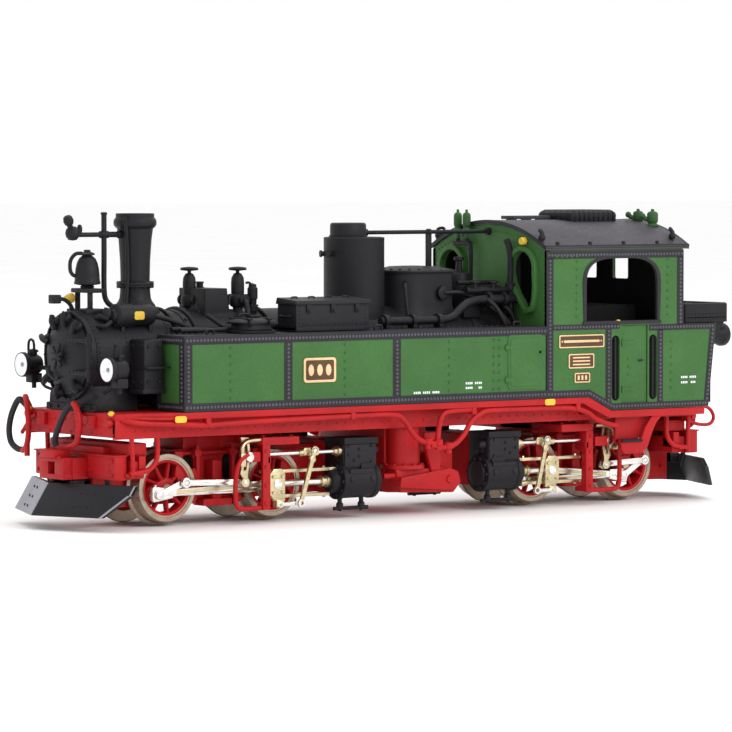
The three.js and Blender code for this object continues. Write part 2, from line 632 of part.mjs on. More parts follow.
// The bogie frame, drawn for the rear bogie: its outer end points to +X.
function bogieFrame(shift, plateX, linkX) {
  const axleHoles = [INNER_AXLE_X, OUTER_AXLE_X].map((x) => rod('y', -6, 6, [x, AXLE_Z], WHEEL.axle + 0.1));
  const spine = box(12.6 + shift, 46.5, -3.3, 3.3, 2.3, 9.5);
  const crown = box(19.6 + shift, 33, -3.3, 3.3, 9.4, 11);
  const yoke = box(19.6 + shift, plateX + 1.2, -9.8, 9.8, 9.9, 11);
  const stretcher = box(7.4 + shift, 12.7 + shift, -5.4, 5.4, 3, 10);
  let frame = join(spine, crown, yoke, stretcher);
  const brakes = box(26.9, 31.3, -5.5, 5.5, 2.2, 8);
  frame = join(frame, brakes);
  [-1, 1].forEach((side) => {
    const slab = (x0, x1, y0, y1, z0, z1) => {
      const ends = [side * y0, side * y1];
      return box(x0, x1, Math.min(...ends), Math.max(...ends), z0, z1);
    };
    frame = join(
      frame,
      slab(plateX, plateX + 0.35, 7.3, 9.8, 1.75, 10),
      slab(plateX + 0.3, plateX + 1.8, 9.25, 9.8, 1.75, 10),
      slab(plateX + 1.5, linkX + 0.4, 9.25, 9.8, 7.8, 9.2),
      slab(linkX - 0.25, linkX + 0.25, 8.3, 9.4, 8.25, 8.75),
      slab(plateX + 0.1, linkX + 3, 7.3, 9.6, 1.75, 2.3),
    );
    const [bar0, bar1] = PLANE.slideBar;
    [AXLE_Z + 1.58, AXLE_Z - 1.58].forEach((z) => {
      frame = join(frame, slab(13.95 + shift, plateX + 0.1, bar0, bar1, z - 0.2, z + 0.2));
    });
    frame = join(
      frame,
      slab(12.2 + shift, 12.7 + shift, 5, bar1, AXLE_Z + 1.4, AXLE_Z + 1.78),
      slab(12.5 + shift, 14.1 + shift, 6, bar1, AXLE_Z + 1.4, AXLE_Z + 1.78),
    );
  });
  const headPlan = [
    [44.6, -9.2], [45.9, -9.2], [49.3, -3], [52, -2.7], [52, 2.7], [49.3, 3], [45.9, 9.2], [44.6, 9.2],
  ];
  const head = cut(plateXY(headPlan, 6.2, 8.9), box(50.4, 53, -0.75, 0.75, 6.9, 8.3));
  const funnel = box(48.6, 51.2, -1.6, 1.6, 8.8, 9.9);
  frame = join(frame, head, funnel);
  const pivotHole = rod('z', 8.6, 12, [PIVOT_X, 0], 1.6, 1.6, 20);
  return cut(frame, ...axleHoles, pivotHole);
}

function plough() {
  const top = 5.75;
  const low = 1.8;
  const plan = [
    [51.2, 0], [43.9, 9], [43.4, 9], [43.4, 8.7], [50.5, 0], [43.4, -8.7], [43.4, -9], [43.9, -9],
  ];
  const outline = new THREE.Shape(plan.map(([x, y]) => new THREE.Vector2(x, y)));
  const blade = new THREE.ExtrudeGeometry(outline, { depth: top - low, bevelEnabled: false });
  const spots = blade.attributes.position;
  for (let i = 0; i < spots.count; i += 1) {
    const drop = top - low - spots.getZ(i);
    spots.setX(i, spots.getX(i) + 0.65 * drop);
  }
  blade.translate(0, 0, low);
  const arms = [-2.4, 2.4].map((y) => box(46.6, 49, y - 0.5, y + 0.5, 4.6, 6.1));
  const strut = box(46.55, 47.6, -2.9, 2.9, 4.6, 6.1);
  return join(toSolid(blade), ...arms, strut);
}

// A steam cylinder with its valve chest, on the +Y side of the rear bogie.
function cylinder(shift, leverTop) {
  const axis = [7.9, CYLINDER_Z];
  const x0 = 7 + shift;
  const x1 = 12.8 + shift;
  const drum = rod('x', x0, x1, axis, 2.4, 2.4, 16);
  const chest = box(7.4 + shift, 12.6 + shift, 5.5, 10, 5.6, 10.4);
  const cover = rod('x', x1 - 0.1, 13.9 + shift, axis, 1.6, 1.6, 12);
  const gland = rod('x', 13.8 + shift, 15.2 + shift, axis, 0.75, 0.75, 8);
  const backCover = rod('x', x0 - 0.5, x0 + 0.1, axis, 1.7, 1.7, 12);
  const spindle = rod('x', 12.4 + shift, 23.6 + shift, [8.6, 8.7], 0.28, 0.28, 8);
  const guide = box(16 + shift, 18.4 + shift, 8.2, 9, 8.3, 9.3);
  const pin = rod('y', 8.8, PLANE.lever[1] + 0.05, leverTop, 0.3, 0.3, 10);
  const drain = box(8.4 + shift, 12.2 + shift, 7.6, 8.2, 1.5, 2.7);
  const drainRod = rod('x', 7.2 + shift, 13.8 + shift, [7.9, 1.4], 0.25, 0.25, 8);
  const bore = rod('x', 8 + shift, 16 + shift, axis, 0.55, 0.55, 12);
  const seat = box(7 + shift, 12.8 + shift, 0, 5.45, 0, 12);
  const barZ = AXLE_Z + 1.58;
  const barSeat = box(12 + shift, 15 + shift, 4.9, 8.55, barZ - 0.3, barZ + 0.3);
  const whole = join(drum, chest, cover, gland, backCover, spindle, guide, pin, drain, drainRod);
  return cut(whole, bore, seat, barSeat);
}

// Crosshead, piston rod and union link; x is the middle of the crosshead.
function crosshead(x) {
  const z = CYLINDER_Z;
  const block = box(x - 1.2, x + 1.2, 7.4, 8.5, z - 1.3, z + 1.3);
  const web = box(x - 1, x + 1, 8.4, 8.7, z - 1.3, z + 1.3);
  const cheek = box(x - 1.2, x + 1.2, PLANE.cheek[0], PLANE.cheek[1], z - 2.2, z + 2);
  const drop = box(x - 0.8, x + 0.5, PLANE.cheek[0], PLANE.unionLink[1], 1.95, 2.75);
  const tie = box(x - 2.6, x - 0.5, PLANE.unionLink[0], PLANE.unionLink[1], 2.05, 2.6);
  const piston = rod('x', x - PISTON_ROD, x - 1, [7.9, z], 0.42, 0.42, 8);
  return join(block, web, cheek, drop, tie, piston);
}

function expansionLink(trunnion, foot) {
  const [y0, y1] = PLANE.link;
  const tilt = THREE.MathUtils.radToDeg(Math.asin((foot[0] - trunnion[0]) / LINK_ARM));
  const outline = [];
  for (let i = 0; i <= 6; i += 1) {
    const z = 2.4 - (i * 4.4) / 6;
    outline.push([-0.55 + 0.12 * z * z / 2, z]);
  }
  outline.push([-0.35, -LINK_ARM], [0.35, -LINK_ARM]);
  for (let i = 0; i <= 6; i += 1) {
    const z = -2 + (i * 4.4) / 6;
    outline.push([0.55 + 0.12 * z * z / 2, z]);
  }
  const blade = plateXZ(outline.reverse(), y0, y1);
  const eye = rod('y', y0, y1, [0, -LINK_ARM], 0.6);
  const holes = [
    rod('y', y0 - 1, y1 + 1, [0, 0], 0.45, 0.45, 12),
    rod('y', y0 - 1, y1 + 1, [0, -LINK_ARM], 0.3, 0.3, 10),
  ];
  return cut(join(blade, eye), ...holes).rotate([0, -tilt, 0]).translate([trunnion[0], 0, trunnion[1]]);
}

// One bogie. End is 'front' or 'rear'; crank angles are for the left and right wheels,
// measured as if the bogie's outer end pointed to +X.
function buildBogie(end, { shift, plateX, linkX, cranks }) {
  const front = end === 'front';
  const outerAxle = [OUTER_AXLE_X, AXLE_Z];
  place(`${end}_bogie_frame`, bogieFrame(shift, plateX, linkX), 'red', front);
  place(`${end}_plough`, plough(), 'dark', front);
  place(`${end}_outer_wheelset`, wheelset(OUTER_AXLE_X, cranks, true), 'red', front);
  place(`${end}_inner_wheelset`, wheelset(INNER_AXLE_X, cranks, false), 'red', front);

  const rodLength = FRONT_ROD - shift;
  const trunnion = [linkX, 8.5];
  const leverTop = [17.2 + shift, 9];
  const leftEccentric = polar(outerAxle, ECCENTRIC, cranks[0] + ECCENTRIC_LEAD);
  const eccentricReach = leftEccentric[0] - trunnion[0] - LINK_FOOT;
  ['left', 'right'].forEach((side, i) => {
    const left = side === 'left';
    const name = (piece) => `${end}_${side}_${piece}`;
    const crank = polar(outerAxle, CRANK, cranks[i]);
    const inner = polar([INNER_AXLE_X, AXLE_Z], CRANK, cranks[i]);
    const crossheadX = crank[0] - Math.sqrt(rodLength ** 2 - (crank[1] - CYLINDER_Z) ** 2);
    const eccentric = polar(outerAxle, ECCENTRIC, cranks[i] + ECCENTRIC_LEAD);
    const foot = [eccentric[0] - eccentricReach, trunnion[1] - LINK_ARM];
    const leverFoot = [crossheadX - 3.1, 2.4];
    const gudgeon = [crossheadX, CYLINDER_Z];
    const pieces = {
      cylinder: [cylinder(shift, leverTop), 'dark'],
      coupling_rod: [link(inner, crank, PLANE.couplingRod, 0.8, 0.8), 'steel'],
      connecting_rod: [link(gudgeon, crank, PLANE.connectingRod, 0.9, 0.9), 'steel'],
      crosshead: [crosshead(crossheadX), 'nickel'],
      combination_lever: [link(leverFoot, leverTop, PLANE.lever, 0.6, 0.55, 0.38), 'nickel'],
      eccentric_rod: [link(foot, eccentric, PLANE.eccentricRod, 0.65, 0.62, 0.4), 'steel'],
      expansion_link: [expansionLink(trunnion, foot), 'nickel'],
    };
    Object.entries(pieces).forEach(([piece, [solid, paint]]) => {
      place(name(piece), solid, paint, front, left);
    });
  });
}

// ---------------------------------------------------------------- assembly

place('main_frame', mainFrame(), 'red');
place('ash_pan', ashPan(), 'red');
place('boiler', boiler(), 'dark');
place('smokebox', smokebox(), 'dark');
place('smokebox_door', smokeboxDoor(), 'dark');
place('chimney', chimney(), 'dark');
place('bell', bell(), 'dark');
place('sand_box', sandBox(), 'dark');
place('steam_dome', steamDome(), 'dark');
place('regulator_box', regulatorBox(), 'dark');
place('regulator_rod', regulatorRod(), 'dark');
place('left_tank', sideTank(), 'green', false, true);
place('right_tank', sideTank(), 'green');
place('tool_box', toolBox(), 'dark', false, true);
place('left_filler_lid', fillerLid(), 'dark', false, true);
place('right_filler_lid', fillerLid(), 'dark');
place('left_headlamp', headlamp(), 'dark', false, true);
place('right_headlamp', headlamp(), 'dark');
place('cab_shell', cabShell(), 'green');
place('cab_roof', cabRoof(), 'roof');
place('roof_vent', roofVent(), 'dark');
place('coal_bunker', coalBunker(), 'dark');
place('motor', motor(), 'steel');
place('circuit_board', circuitBoard(), 'dark');

buildBogie('front', { shift: 0, plateX: 24.1, linkX: 27.15, cranks: [-18, 72] });
buildBogie('rear', { shift: REAR_SHIFT, plateX: 27.1, linkX: 31.15, cranks: [215, 125] });

export default engine;
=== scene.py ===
"""Looks of a 1:87 narrow-gauge articulated tank locomotive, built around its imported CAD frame.

Lengths are millimetres in the frame's own axes: -X is the chimney end, -Y the left side and z = 0 the
bottom of the wheel flanges. Solid.done() turns them into metres. Turned shapes are lists of [radius,
place along the axis]; flat plates are lists of the two coordinates square to their axis.
"""

import json
import random
from math import asin, atan2, cos, degrees, hypot, pi, radians, sin, sqrt

import bmesh
import bpy
from mathutils import Matrix, Vector


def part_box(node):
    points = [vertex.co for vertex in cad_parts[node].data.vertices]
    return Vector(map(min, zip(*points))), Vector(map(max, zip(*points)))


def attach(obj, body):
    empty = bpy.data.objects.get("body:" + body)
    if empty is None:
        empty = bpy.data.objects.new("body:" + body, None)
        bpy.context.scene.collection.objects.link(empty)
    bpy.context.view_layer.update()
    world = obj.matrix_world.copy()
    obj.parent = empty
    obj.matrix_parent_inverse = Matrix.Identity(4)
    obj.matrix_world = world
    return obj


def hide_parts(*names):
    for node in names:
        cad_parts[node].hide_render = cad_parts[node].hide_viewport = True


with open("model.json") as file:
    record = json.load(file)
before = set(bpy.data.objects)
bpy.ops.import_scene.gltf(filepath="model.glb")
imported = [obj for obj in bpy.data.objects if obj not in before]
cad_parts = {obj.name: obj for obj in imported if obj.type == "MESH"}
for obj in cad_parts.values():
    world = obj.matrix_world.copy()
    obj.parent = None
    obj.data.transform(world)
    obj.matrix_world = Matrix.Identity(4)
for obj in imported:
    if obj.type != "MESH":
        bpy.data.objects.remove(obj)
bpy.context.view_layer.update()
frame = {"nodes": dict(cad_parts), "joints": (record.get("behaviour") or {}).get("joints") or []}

MM = 0.001
SIDES = ((-1, "left"), (1, "right"))


def span(node):
    """Lowest and highest corner of a CAD node, in millimetres."""
    low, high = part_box(node)
    return low / MM, high / MM


JOINTS = {joint["name"]: joint for joint in frame["joints"]}


def pivot(joint):
    """A hinge's point, in millimetres."""
    return Vector(JOINTS[joint]["pos_m"]) / MM


# ------------------------------------------------------------------ solids


def ring(axis, along, centre, radius, sides, turn=0.0):
    """Points of a circle that stands square to an axis."""
    u, v = centre
    points = []
    for k in range(sides):
        angle = turn + 2 * pi * k / sides
        points.append(spot(axis, along, u + radius * cos(angle), v + radius * sin(angle)))
    return points


def spot(axis, along, u, v):
    """A point from its place along an axis and its two other coordinates, in X, Y, Z order."""
    if axis == "x":
        return Vector((along, u, v))
    if axis == "y":
        return Vector((u, along, v))
    return Vector((u, v, along))


def smooth_path(points, steps=6):
    """Points of a curve that passes through the given ones."""
    spots = [Vector(p) for p in points]
    if len(spots) < 3:
        return spots
    ends = [spots[0] * 2 - spots[1]] + spots + [spots[-1] * 2 - spots[-2]]
    path = []
    for k in range(1, len(ends) - 2):
        a, b, c, d = ends[k - 1 : k + 3]
        for step in range(steps):
            t = step / steps
            square, cube = 2 * a - 5 * b + 4 * c - d, 3 * b - a - 3 * c + d
            path.append(0.5 * (2 * b + (c - a) * t + square * t**2 + cube * t**3))
    return path + [spots[-1]]


def arc(centre, radius, start, stop, steps=8):
    """Points [u, v] on an arc, its angles in degrees."""
    points = []
    for k in range(steps + 1):
        angle = radians(start + (stop - start) * k / steps)
        points.append((centre[0] + radius * cos(angle), centre[1] + radius * sin(angle)))
    return points


def rounded(u0, u1, v0, v1, radius, steps=4):
    """Outline of a rectangle with round corners."""
    return (arc((u1 - radius, v0 + radius), radius, -90, 0, steps) + arc((u1 - radius, v1 - radius), radius,
        0, 90, steps) + arc((u0 + radius, v1 - radius), radius, 90, 180, steps)
        + arc((u0 + radius, v0 + radius), radius, 180, 270, steps))


def around(axis, along, centre, radius, angles):
    """Points of a circle square to an axis, at the given angles in degrees."""
    u, v = centre
    return [spot(axis, along, u + radius * cos(radians(a)), v + radius * sin(radians(a))) for a in angles]


def join_rings(part, rows):
    """Faces between neighbouring rings of vertices, and one over each end."""
    for low, high in zip(rows, rows[1:]):
        for k in range(len(low)):
            n = (k + 1) % len(low)
            part.faces.new((low[k], low[n], high[n], high[k]))
    part.faces.new(rows[0][::-1])
    part.faces.new(rows[-1])


def on_side(side, a, b):
    """Two distances from the middle as lower and upper Y on the left (-1) or right (1) side."""
    return sorted((side * a, side * b))


class Solid:
    """One visible piece, joined from simple closed shapes given in millimetres."""

    def __init__(self, name, *materials):
        self.name = name
        self.materials = materials
        self.mesh = bmesh.new()

    def absorb(self, part, tone=0, bevel=0.0):
        """Cleans a shape, rounds its sharp edges and adds it."""
        bmesh.ops.remove_doubles(part, verts=part.verts, dist=1e-4)
        bmesh.ops.recalc_face_normals(part, faces=part.faces)
        if bevel:
            sharp = [e for e in part.edges if len(e.link_faces) == 2 and e.calc_face_angle() > 0.7]
            bmesh.ops.bevel(part, geom=sharp, offset=bevel, segments=2, affect="EDGES", profile=0.6,
                clamp_overlap=True)
        self.take(part, tone)

    def take(self, part, tone):
        """Adds a finished shape, painted with the material of that number."""
        for face in part.faces:
            face.material_index = tone
        scratch = bpy.data.meshes.new("scratch")
        part.to_mesh(scratch)
        part.free()
        self.mesh.from_mesh(scratch)
        bpy.data.meshes.remove(scratch)

    def loft(self, rings, tone=0, bevel=0.0):
        """A closed skin over a row of outlines with the same number of points."""
        part = bmesh.new()
        join_rings(part, [[part.verts.new(p) for p in points] for points in rings])
        self.absorb(part, tone, bevel)

    def block(self, x0, x1, y0, y1, z0, z1, tone=0, bevel=0.07):
        low = [Vector((x, y, z0)) for x, y in ((x0, y0), (x1, y0), (x1, y1), (x0, y1))]
        high = [p + Vector((0, 0, z1 - z0)) for p in low]
        self.loft([low, high], tone, bevel)

    def rod(self, axis, centre, radius, a, b, sides=40, tone=0):
        """A plain cylinder between two places along an axis."""
        self.turn(axis, centre, [(0, a), (radius, a), (radius, b), (0, b)], sides, tone)

    def turn(self, axis, centre, points, sides=40, tone=0):
        """A turned shape: points are [radius, place along the axis]."""
        self.loft([ring(axis, along, centre, max(r, 0.004), sides) for r, along in points], tone)

    def turn_between(self, base, along, points, sides=14, tone=0):
        """A turned shape about any line: points are [radius, distance along the line]."""
        along = along.normalized()
        side = along.orthogonal().normalized()
        other = along.cross(side)
        turns = [2 * pi * k / sides for k in range(sides)]
        rings = []
        for r, step in points:
            r = max(r, 0.004)
            rings.append([base + along * step + r * (cos(a) * side + sin(a) * other) for a in turns])
        self.loft(rings, tone)

    def hoop(self, axis, centre, points, sides=64, tone=0):
        """A turned ring: the outline closes on itself."""
        part = bmesh.new()
        rows = [[part.verts.new(p) for p in ring(axis, along, centre, r, sides)] for r, along in points]
        for low, high in zip(rows, rows[1:] + rows[:1]):
            for k in range(sides):
                n = (k + 1) % sides
                part.faces.new((low[k], low[n], high[n], high[k]))
        self.absorb(part, tone)

    def plate(self, axis, outline, a, b, holes=(), tone=0, bevel=0.0):
        """A flat plate between two planes square to an axis, with holes."""
        part = bmesh.new()
        edges = []
        for loop in (outline, *holes):
            verts = [part.verts.new(spot(axis, a, u, v)) for u, v in loop]
            edges += [part.edges.new((verts[k], verts[(k + 1) % len(verts)])) for k in range(len(verts))]
        bmesh.ops.triangle_fill(part, edges=edges, use_beauty=True, use_dissolve=False)
        bmesh.ops.dissolve_limit(part, angle_limit=0.01, verts=list(part.verts),
            edges=[e for e in part.edges if len(e.link_faces) == 2])
        flat = list(part.faces)
        copied = bmesh.ops.extrude_face_region(part, geom=flat)
        moved = [v for v in copied["geom"] if isinstance(v, bmesh.types.BMVert)]
        bmesh.ops.translate(part, verts=moved, vec=spot(axis, b - a, 0, 0))
        bmesh.ops.recalc_face_normals(part, faces=part.faces)
        self.absorb(part, tone, bevel)

    def tube(self, points, radius, sides=10, tone=0, steps=6, curved=True):
        """A round bar along a path, its ends cut square."""
        path = smooth_path(points, steps) if curved else [Vector(p) for p in points]
        rings = []
        side = None
        turns = [2 * pi * k / sides for k in range(sides)]
        for k, here in enumerate(path):
            before = path[max(k - 1, 0)]
            after = path[min(k + 1, len(path) - 1)]
            ahead = (after - before).normalized()
            if side is None:
                side = ahead.orthogonal().normalized()
            side = (side - ahead * side.dot(ahead)).normalized()
            other = ahead.cross(side)
            rings.append([here + radius * (cos(a) * side + sin(a) * other) for a in turns])
        self.loft(rings, tone)

    def ball(self, centre, radius, tone=0, sides=16, squash=1.0):
        part = bmesh.new()
        bmesh.ops.create_uvsphere(part, u_segments=sides, v_segments=sides // 2, radius=radius)
        bmesh.ops.scale(part, vec=(1, 1, squash), verts=part.verts)
        bmesh.ops.translate(part, vec=centre, verts=part.verts)
        self.absorb(part, tone)

    def rivets(self, points, normal, radius=0.15, height=0.09, tone=0, sides=8):
        """Low domes at the given points, standing off along a normal."""
        out = Vector(normal).normalized()
        side = out.orthogonal().normalized()
        other = out.cross(side)
        part = bmesh.new()
        for point in points:
            base = Vector(point)
            rows = []
            for r, h in ((radius, -0.04), (radius, 0.3 * height), (0.62 * radius, 0.82 * height)):
                row = []
                for n in range(sides):
                    angle = 2 * pi * n / sides
                    row.append(part.verts.new(base + out * h + r * (cos(angle) * side + sin(angle) * other)))
                rows.append(row)
            join_rings(part, rows)
        self.take(part, tone)

    def bolts(self, points, normal, radius=0.28, height=0.22, tone=0):
        """Hexagon heads."""
        out = Vector(normal).normalized()
        side = out.orthogonal().normalized()
        other = out.cross(side)
        for point in points:
            base = Vector(point)
            rows = []
            for r, h in ((radius, -0.05), (radius, height * 0.75), (radius * 0.8, height)):
                rows.append([base + out * h + r * (cos(pi * n / 3) * side + sin(pi * n / 3) * other)
                    for n in range(6)])
            self.loft(rows, tone)

    def link(self, start, stop, plane, wide, eyes, tone=0, bevel=0.06, hole=0.0):
        """A flat rod in the XZ plane with round eyes."""
        (x0, z0), (x1, z1) = start, stop
        y0, y1 = plane
        along = Vector((x1 - x0, z1 - z0))
        angle = degrees(atan2(along.y, along.x))
        r0, r1 = eyes
        half0 = degrees(asin(min(wide / 2 / r0, 1)))
        half1 = degrees(asin(min(wide / 2 / r1, 1)))
        outline = arc(start, r0, angle + half0, angle + 360 - half0, 14)
        outline += arc(stop, r1, angle + 180 + half1, angle + 540 - half1, 14)
        holes = []
        if hole:
            holes = [arc(end, hole, 0, 337.5, 15)[::-1] for end in (start, stop)]
        self.plate("y", outline, y0, y1, holes, tone, bevel)

    def flip(self, x=False, y=False):
        """Mirrors everything so far across the locomotive's middle."""
        scale = Matrix.Diagonal((-1 if x else 1, -1 if y else 1, 1, 1))
        bmesh.ops.transform(self.mesh, matrix=scale, verts=self.mesh.verts)
        if x != y:
            bmesh.ops.reverse_faces(self.mesh, faces=self.mesh.faces)

    def done(self, body, slot, *replaced, sharp=38):
        data = bpy.data.meshes.new(self.name)
        bmesh.ops.scale(self.mesh, vec=(MM, MM, MM), verts=self.mesh.verts)
        self.mesh.to_mesh(data)
        self.mesh.free()
        for material in self.materials:
            data.materials.append(material)
        data.polygons.foreach_set("use_smooth", [True] * len(data.polygons))
        data.set_sharp_from_angle(angle=radians(sharp))
        piece = bpy.data.objects.new(self.name, data)
        bpy.context.scene.collection.objects.link(piece)
        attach(piece, body)
        if replaced:
            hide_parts(*replaced)
        return piece


# ------------------------------------------------------------------ materials


def linear(rgb):
    """An sRGB colour of 0 to 255 numbers as a linear colour."""
    channels = []
    for value in rgb:
        c = value / 255
        channels.append(c / 12.92 if c <= 0.04045 else ((c + 0.055) / 1.055) ** 2.4)
    return (*channels, 1.0)


class Shader:
    """Builds one node material around a Principled shader, with lengths in millimetres."""

    def __init__(self, name):
        self.material = bpy.data.materials.new(name)
        self.material.use_nodes = True
        self.nodes = self.material.node_tree.nodes
        self.links = self.material.node_tree.links
        self.surface = self.nodes["Principled BSDF"]
        place = self.nodes.new("ShaderNodeTexCoord")
        self.scale = self.nodes.new("ShaderNodeMapping")
        self.scale.inputs["Scale"].default_value = (1 / MM, 1 / MM, 1 / MM)
        self.links.new(place.outputs["Object"], self.scale.inputs["Vector"])

    def set(self, **values):
        for name, value in values.items():
            self.surface.inputs[name.replace("_", " ")].default_value = value

    def noise(self, size, detail=3.0, roughness=0.55, stretch=None):
        """A noise pattern whose marks are about size millimetres across."""
        source = self.scale.outputs["Vector"]
        if stretch:
            more = self.nodes.new("ShaderNodeMapping")
            more.inputs["Scale"].default_value = stretch
            self.links.new(source, more.inputs["Vector"])
            source = more.outputs["Vector"]
        noise = self.nodes.new("ShaderNodeTexNoise")
        noise.inputs["Scale"].default_value = 1 / size
        noise.inputs["Detail"].default_value = detail
        noise.inputs["Roughness"].default_value = roughness
        self.links.new(source, noise.inputs["Vector"])
        return noise.outputs["Fac"]

    def spread(self, source, low, high, start=0.3, stop=0.7):
        """Maps a pattern onto a range of values."""
        span_node = self.nodes.new("ShaderNodeMapRange")
        span_node.inputs["From Min"].default_value = start
        span_node.inputs["From Max"].default_value = stop
        span_node.inputs["To Min"].default_value = low
        span_node.inputs["To Max"].default_value = high
        self.links.new(source, span_node.inputs["Value"])
        return span_node.outputs["Result"]

    def blend(self, factor, first, second):
        """Mixes two colours (values or outputs) by a pattern."""
        mix = self.nodes.new("ShaderNodeMix")
        mix.data_type = "RGBA"
        self.links.new(factor, mix.inputs["Factor"])
        sockets = [s for s in mix.inputs if s.type == "RGBA"]
        for socket, colour in zip(sockets, (first, second)):
            if isinstance(colour, tuple):
                socket.default_value = colour
            else:
                self.links.new(colour, socket)
        return next(s for s in mix.outputs if s.type == "RGBA")

    def colour(self, source):
        self.links.new(source, self.surface.inputs["Base Color"])

    def rough(self, source):
        self.links.new(source, self.surface.inputs["Roughness"])

    def bump(self, source, depth):
        """Raises the surface by a pattern, depth in millimetres."""
        bump = self.nodes.new("ShaderNodeBump")
        bump.inputs["Strength"].default_value = 1.0
        bump.inputs["Distance"].default_value = depth * MM
        self.links.new(source, bump.inputs["Height"])
        self.links.new(bump.outputs["Normal"], self.surface.inputs["Normal"])


def shade(rgb, factor):
    """A lighter or darker copy of an sRGB colour."""
    return tuple(min(255, c * factor) for c in rgb)


def painted(name, rgb, gloss=0.5, contrast=0.1, grain=0.35, depth=0.012):
    """Sprayed paint on moulded plastic: faint tone drift, fine speckle and orange-peel."""
    s = Shader(name)
    broad = s.noise(6.0, 2.0)
    fine = s.noise(grain, 4.0, 0.65)
    tone = s.blend(s.spread(broad, 0, 1), linear(shade(rgb, 1 - contrast)),
        linear(shade(rgb, 1 + contrast)))
    speck = s.blend(s.spread(fine, 0, 0.35, 0.45, 0.75), tone, linear(shade(rgb, 0.72)))
    s.colour(speck)
    s.rough(s.spread(fine, gloss - 0.07, gloss + 0.1))
    s.bump(fine, depth)
    s.set(Specular_IOR_Level=0.22)
    return s.material


def metal(name, rgb, gloss=0.3, streak=(0.25, 4.0, 4.0), contrast=0.16, depth=0.004):
    """Worked metal: drawn streaks and a little handling wear."""
    s = Shader(name)
    lines = s.noise(0.5, 4.0, 0.6, stretch=streak)
    wear = s.noise(1.6, 3.0)
    tone = s.blend(s.spread(lines, 0, 1), linear(shade(rgb, 1 - contrast)),
        linear(shade(rgb, 1 + contrast * 0.5)))
    s.colour(s.blend(s.spread(wear, 0, 0.4, 0.5, 0.8), tone, linear(shade(rgb, 0.62))))
    s.rough(s.spread(lines, gloss - 0.08, gloss + 0.14))
    s.bump(lines, depth)
    s.set(Metallic=1.0)
    return s.material


def mineral(name, rgb, size=0.8, gloss=0.35):
    """Broken coal: glassy faces between dull ones."""
    s = Shader(name)
    chips = s.nodes.new("ShaderNodeTexVoronoi")
    chips.inputs["Scale"].default_value = 1 / size
    s.links.new(s.scale.outputs["Vector"], chips.inputs["Vector"])
    fine = s.noise(0.3, 5.0, 0.7)
    s.colour(s.blend(s.spread(fine, 0, 1), linear(shade(rgb, 0.6)), linear(shade(rgb, 1.5))))
    s.rough(s.spread(fine, gloss - 0.15, gloss + 0.25))
    s.bump(chips.outputs["Distance"], 0.18)
    return s.material


GREEN = painted("green_paint", (58, 100, 50), 0.5, contrast=0.05)
BAND = painted("anthracite_band", (40, 38, 43), 0.45, contrast=0.07)
# Band rivets are painted lighter than their band: a painted highlight on each head.
RIVET_HIGHLIGHT = painted("rivet_anthracite_painted_highlight", (82, 79, 88), 0.4, contrast=0.06)
# Green field rivets are painted darker than the green wall: painted shade on each head.
GREEN_RIVET_SHADE = painted("rivet_green_painted_shade", (54, 94, 48), 0.45, contrast=0.06)
BLACK = painted("boiler_black", (25, 23, 27), 0.5, contrast=0.1)
# Near-black fill for the space between the bogie frame plates and for the coupler slot: painted shade.
SHADE_FILL_BLACK = painted("shade_fill_black", (22, 21, 23), 0.7, contrast=0.2)
CAST = painted("cast_anthracite", (31, 29, 33), 0.5, contrast=0.08)
ROOF = painted("roof_grey", (66, 63, 69), 0.52, contrast=0.07, grain=0.5)
RED = painted("frame_red", (172, 22, 26), 0.45, contrast=0.06)
WHEEL_RED = painted("wheel_red", (178, 24, 30), 0.42, contrast=0.06)
YELLOW = painted("brass_yellow", (222, 184, 62), 0.4, contrast=0.08)
CREAM = painted("plate_cream", (226, 192, 146), 0.45, contrast=0.05)
PLATE = painted("plate_brown", (84, 62, 44), 0.5, contrast=0.1)
WHISTLE = painted("whistle_green", (48, 84, 44), 0.5, contrast=0.1)
# Pale grey on the plough's dark paint: painted highlight on the right wing, on the left wing's lower edge
# and tip, and on the rear plough's left outer end.
PLOUGH_PAINTED_HIGHLIGHT = painted("plough_grey", (146, 146, 154), 0.45, contrast=0.06)
PLOUGH = painted("plough_black", (30, 30, 34), 0.42, contrast=0.1)
RUBBER = painted("hose_black", (44, 42, 48), 0.55, contrast=0.1)
# Near-black for the inside of the cab and the bunker: painted shade over the interior.
INSIDE_SHADE = painted("cab_inside_painted_shade", (11, 10, 12), 0.8, contrast=0.12)
WHITE = painted("lamp_reflector", (242, 243, 246), 0.25, contrast=0.01)
SILVER = metal("bright_nickel", (238, 236, 232), 0.22, contrast=0.1)
NICKEL = metal("warm_nickel", (212, 198, 160), 0.3, contrast=0.12)
TYRE = metal("tyre_metal", (176, 160, 142), 0.32, streak=(4.0, 0.3, 4.0))
RIM = metal("rim_dark", (96, 86, 84), 0.4)
CAN = metal("motor_can", (160, 160, 164), 0.35)
BOARD = painted("board_green", (30, 72, 46), 0.35)
COAL = mineral("coal", (26, 26, 28))


def row(start, stop, pitch):
    """Evenly spaced points from start to stop, about pitch apart."""
    start, stop = Vector(start), Vector(stop)
    count = max(1, round((stop - start).length / pitch))
    return [start.lerp(stop, k / count) for k in range(count + 1)]


# ------------------------------------------------------------------ body dimensions

TANK_LOW, TANK_HIGH = span("right_tank")
CAB_LOW, CAB_HIGH = span("cab_shell")
ROOF_HIGH = span("cab_roof")[1]
DECK_LOW, DECK_HIGH = span("main_frame")
SMOKE_LOW, SMOKE_HIGH = span("smokebox")
BOILER_LOW, BOILER_HIGH = span("boiler")

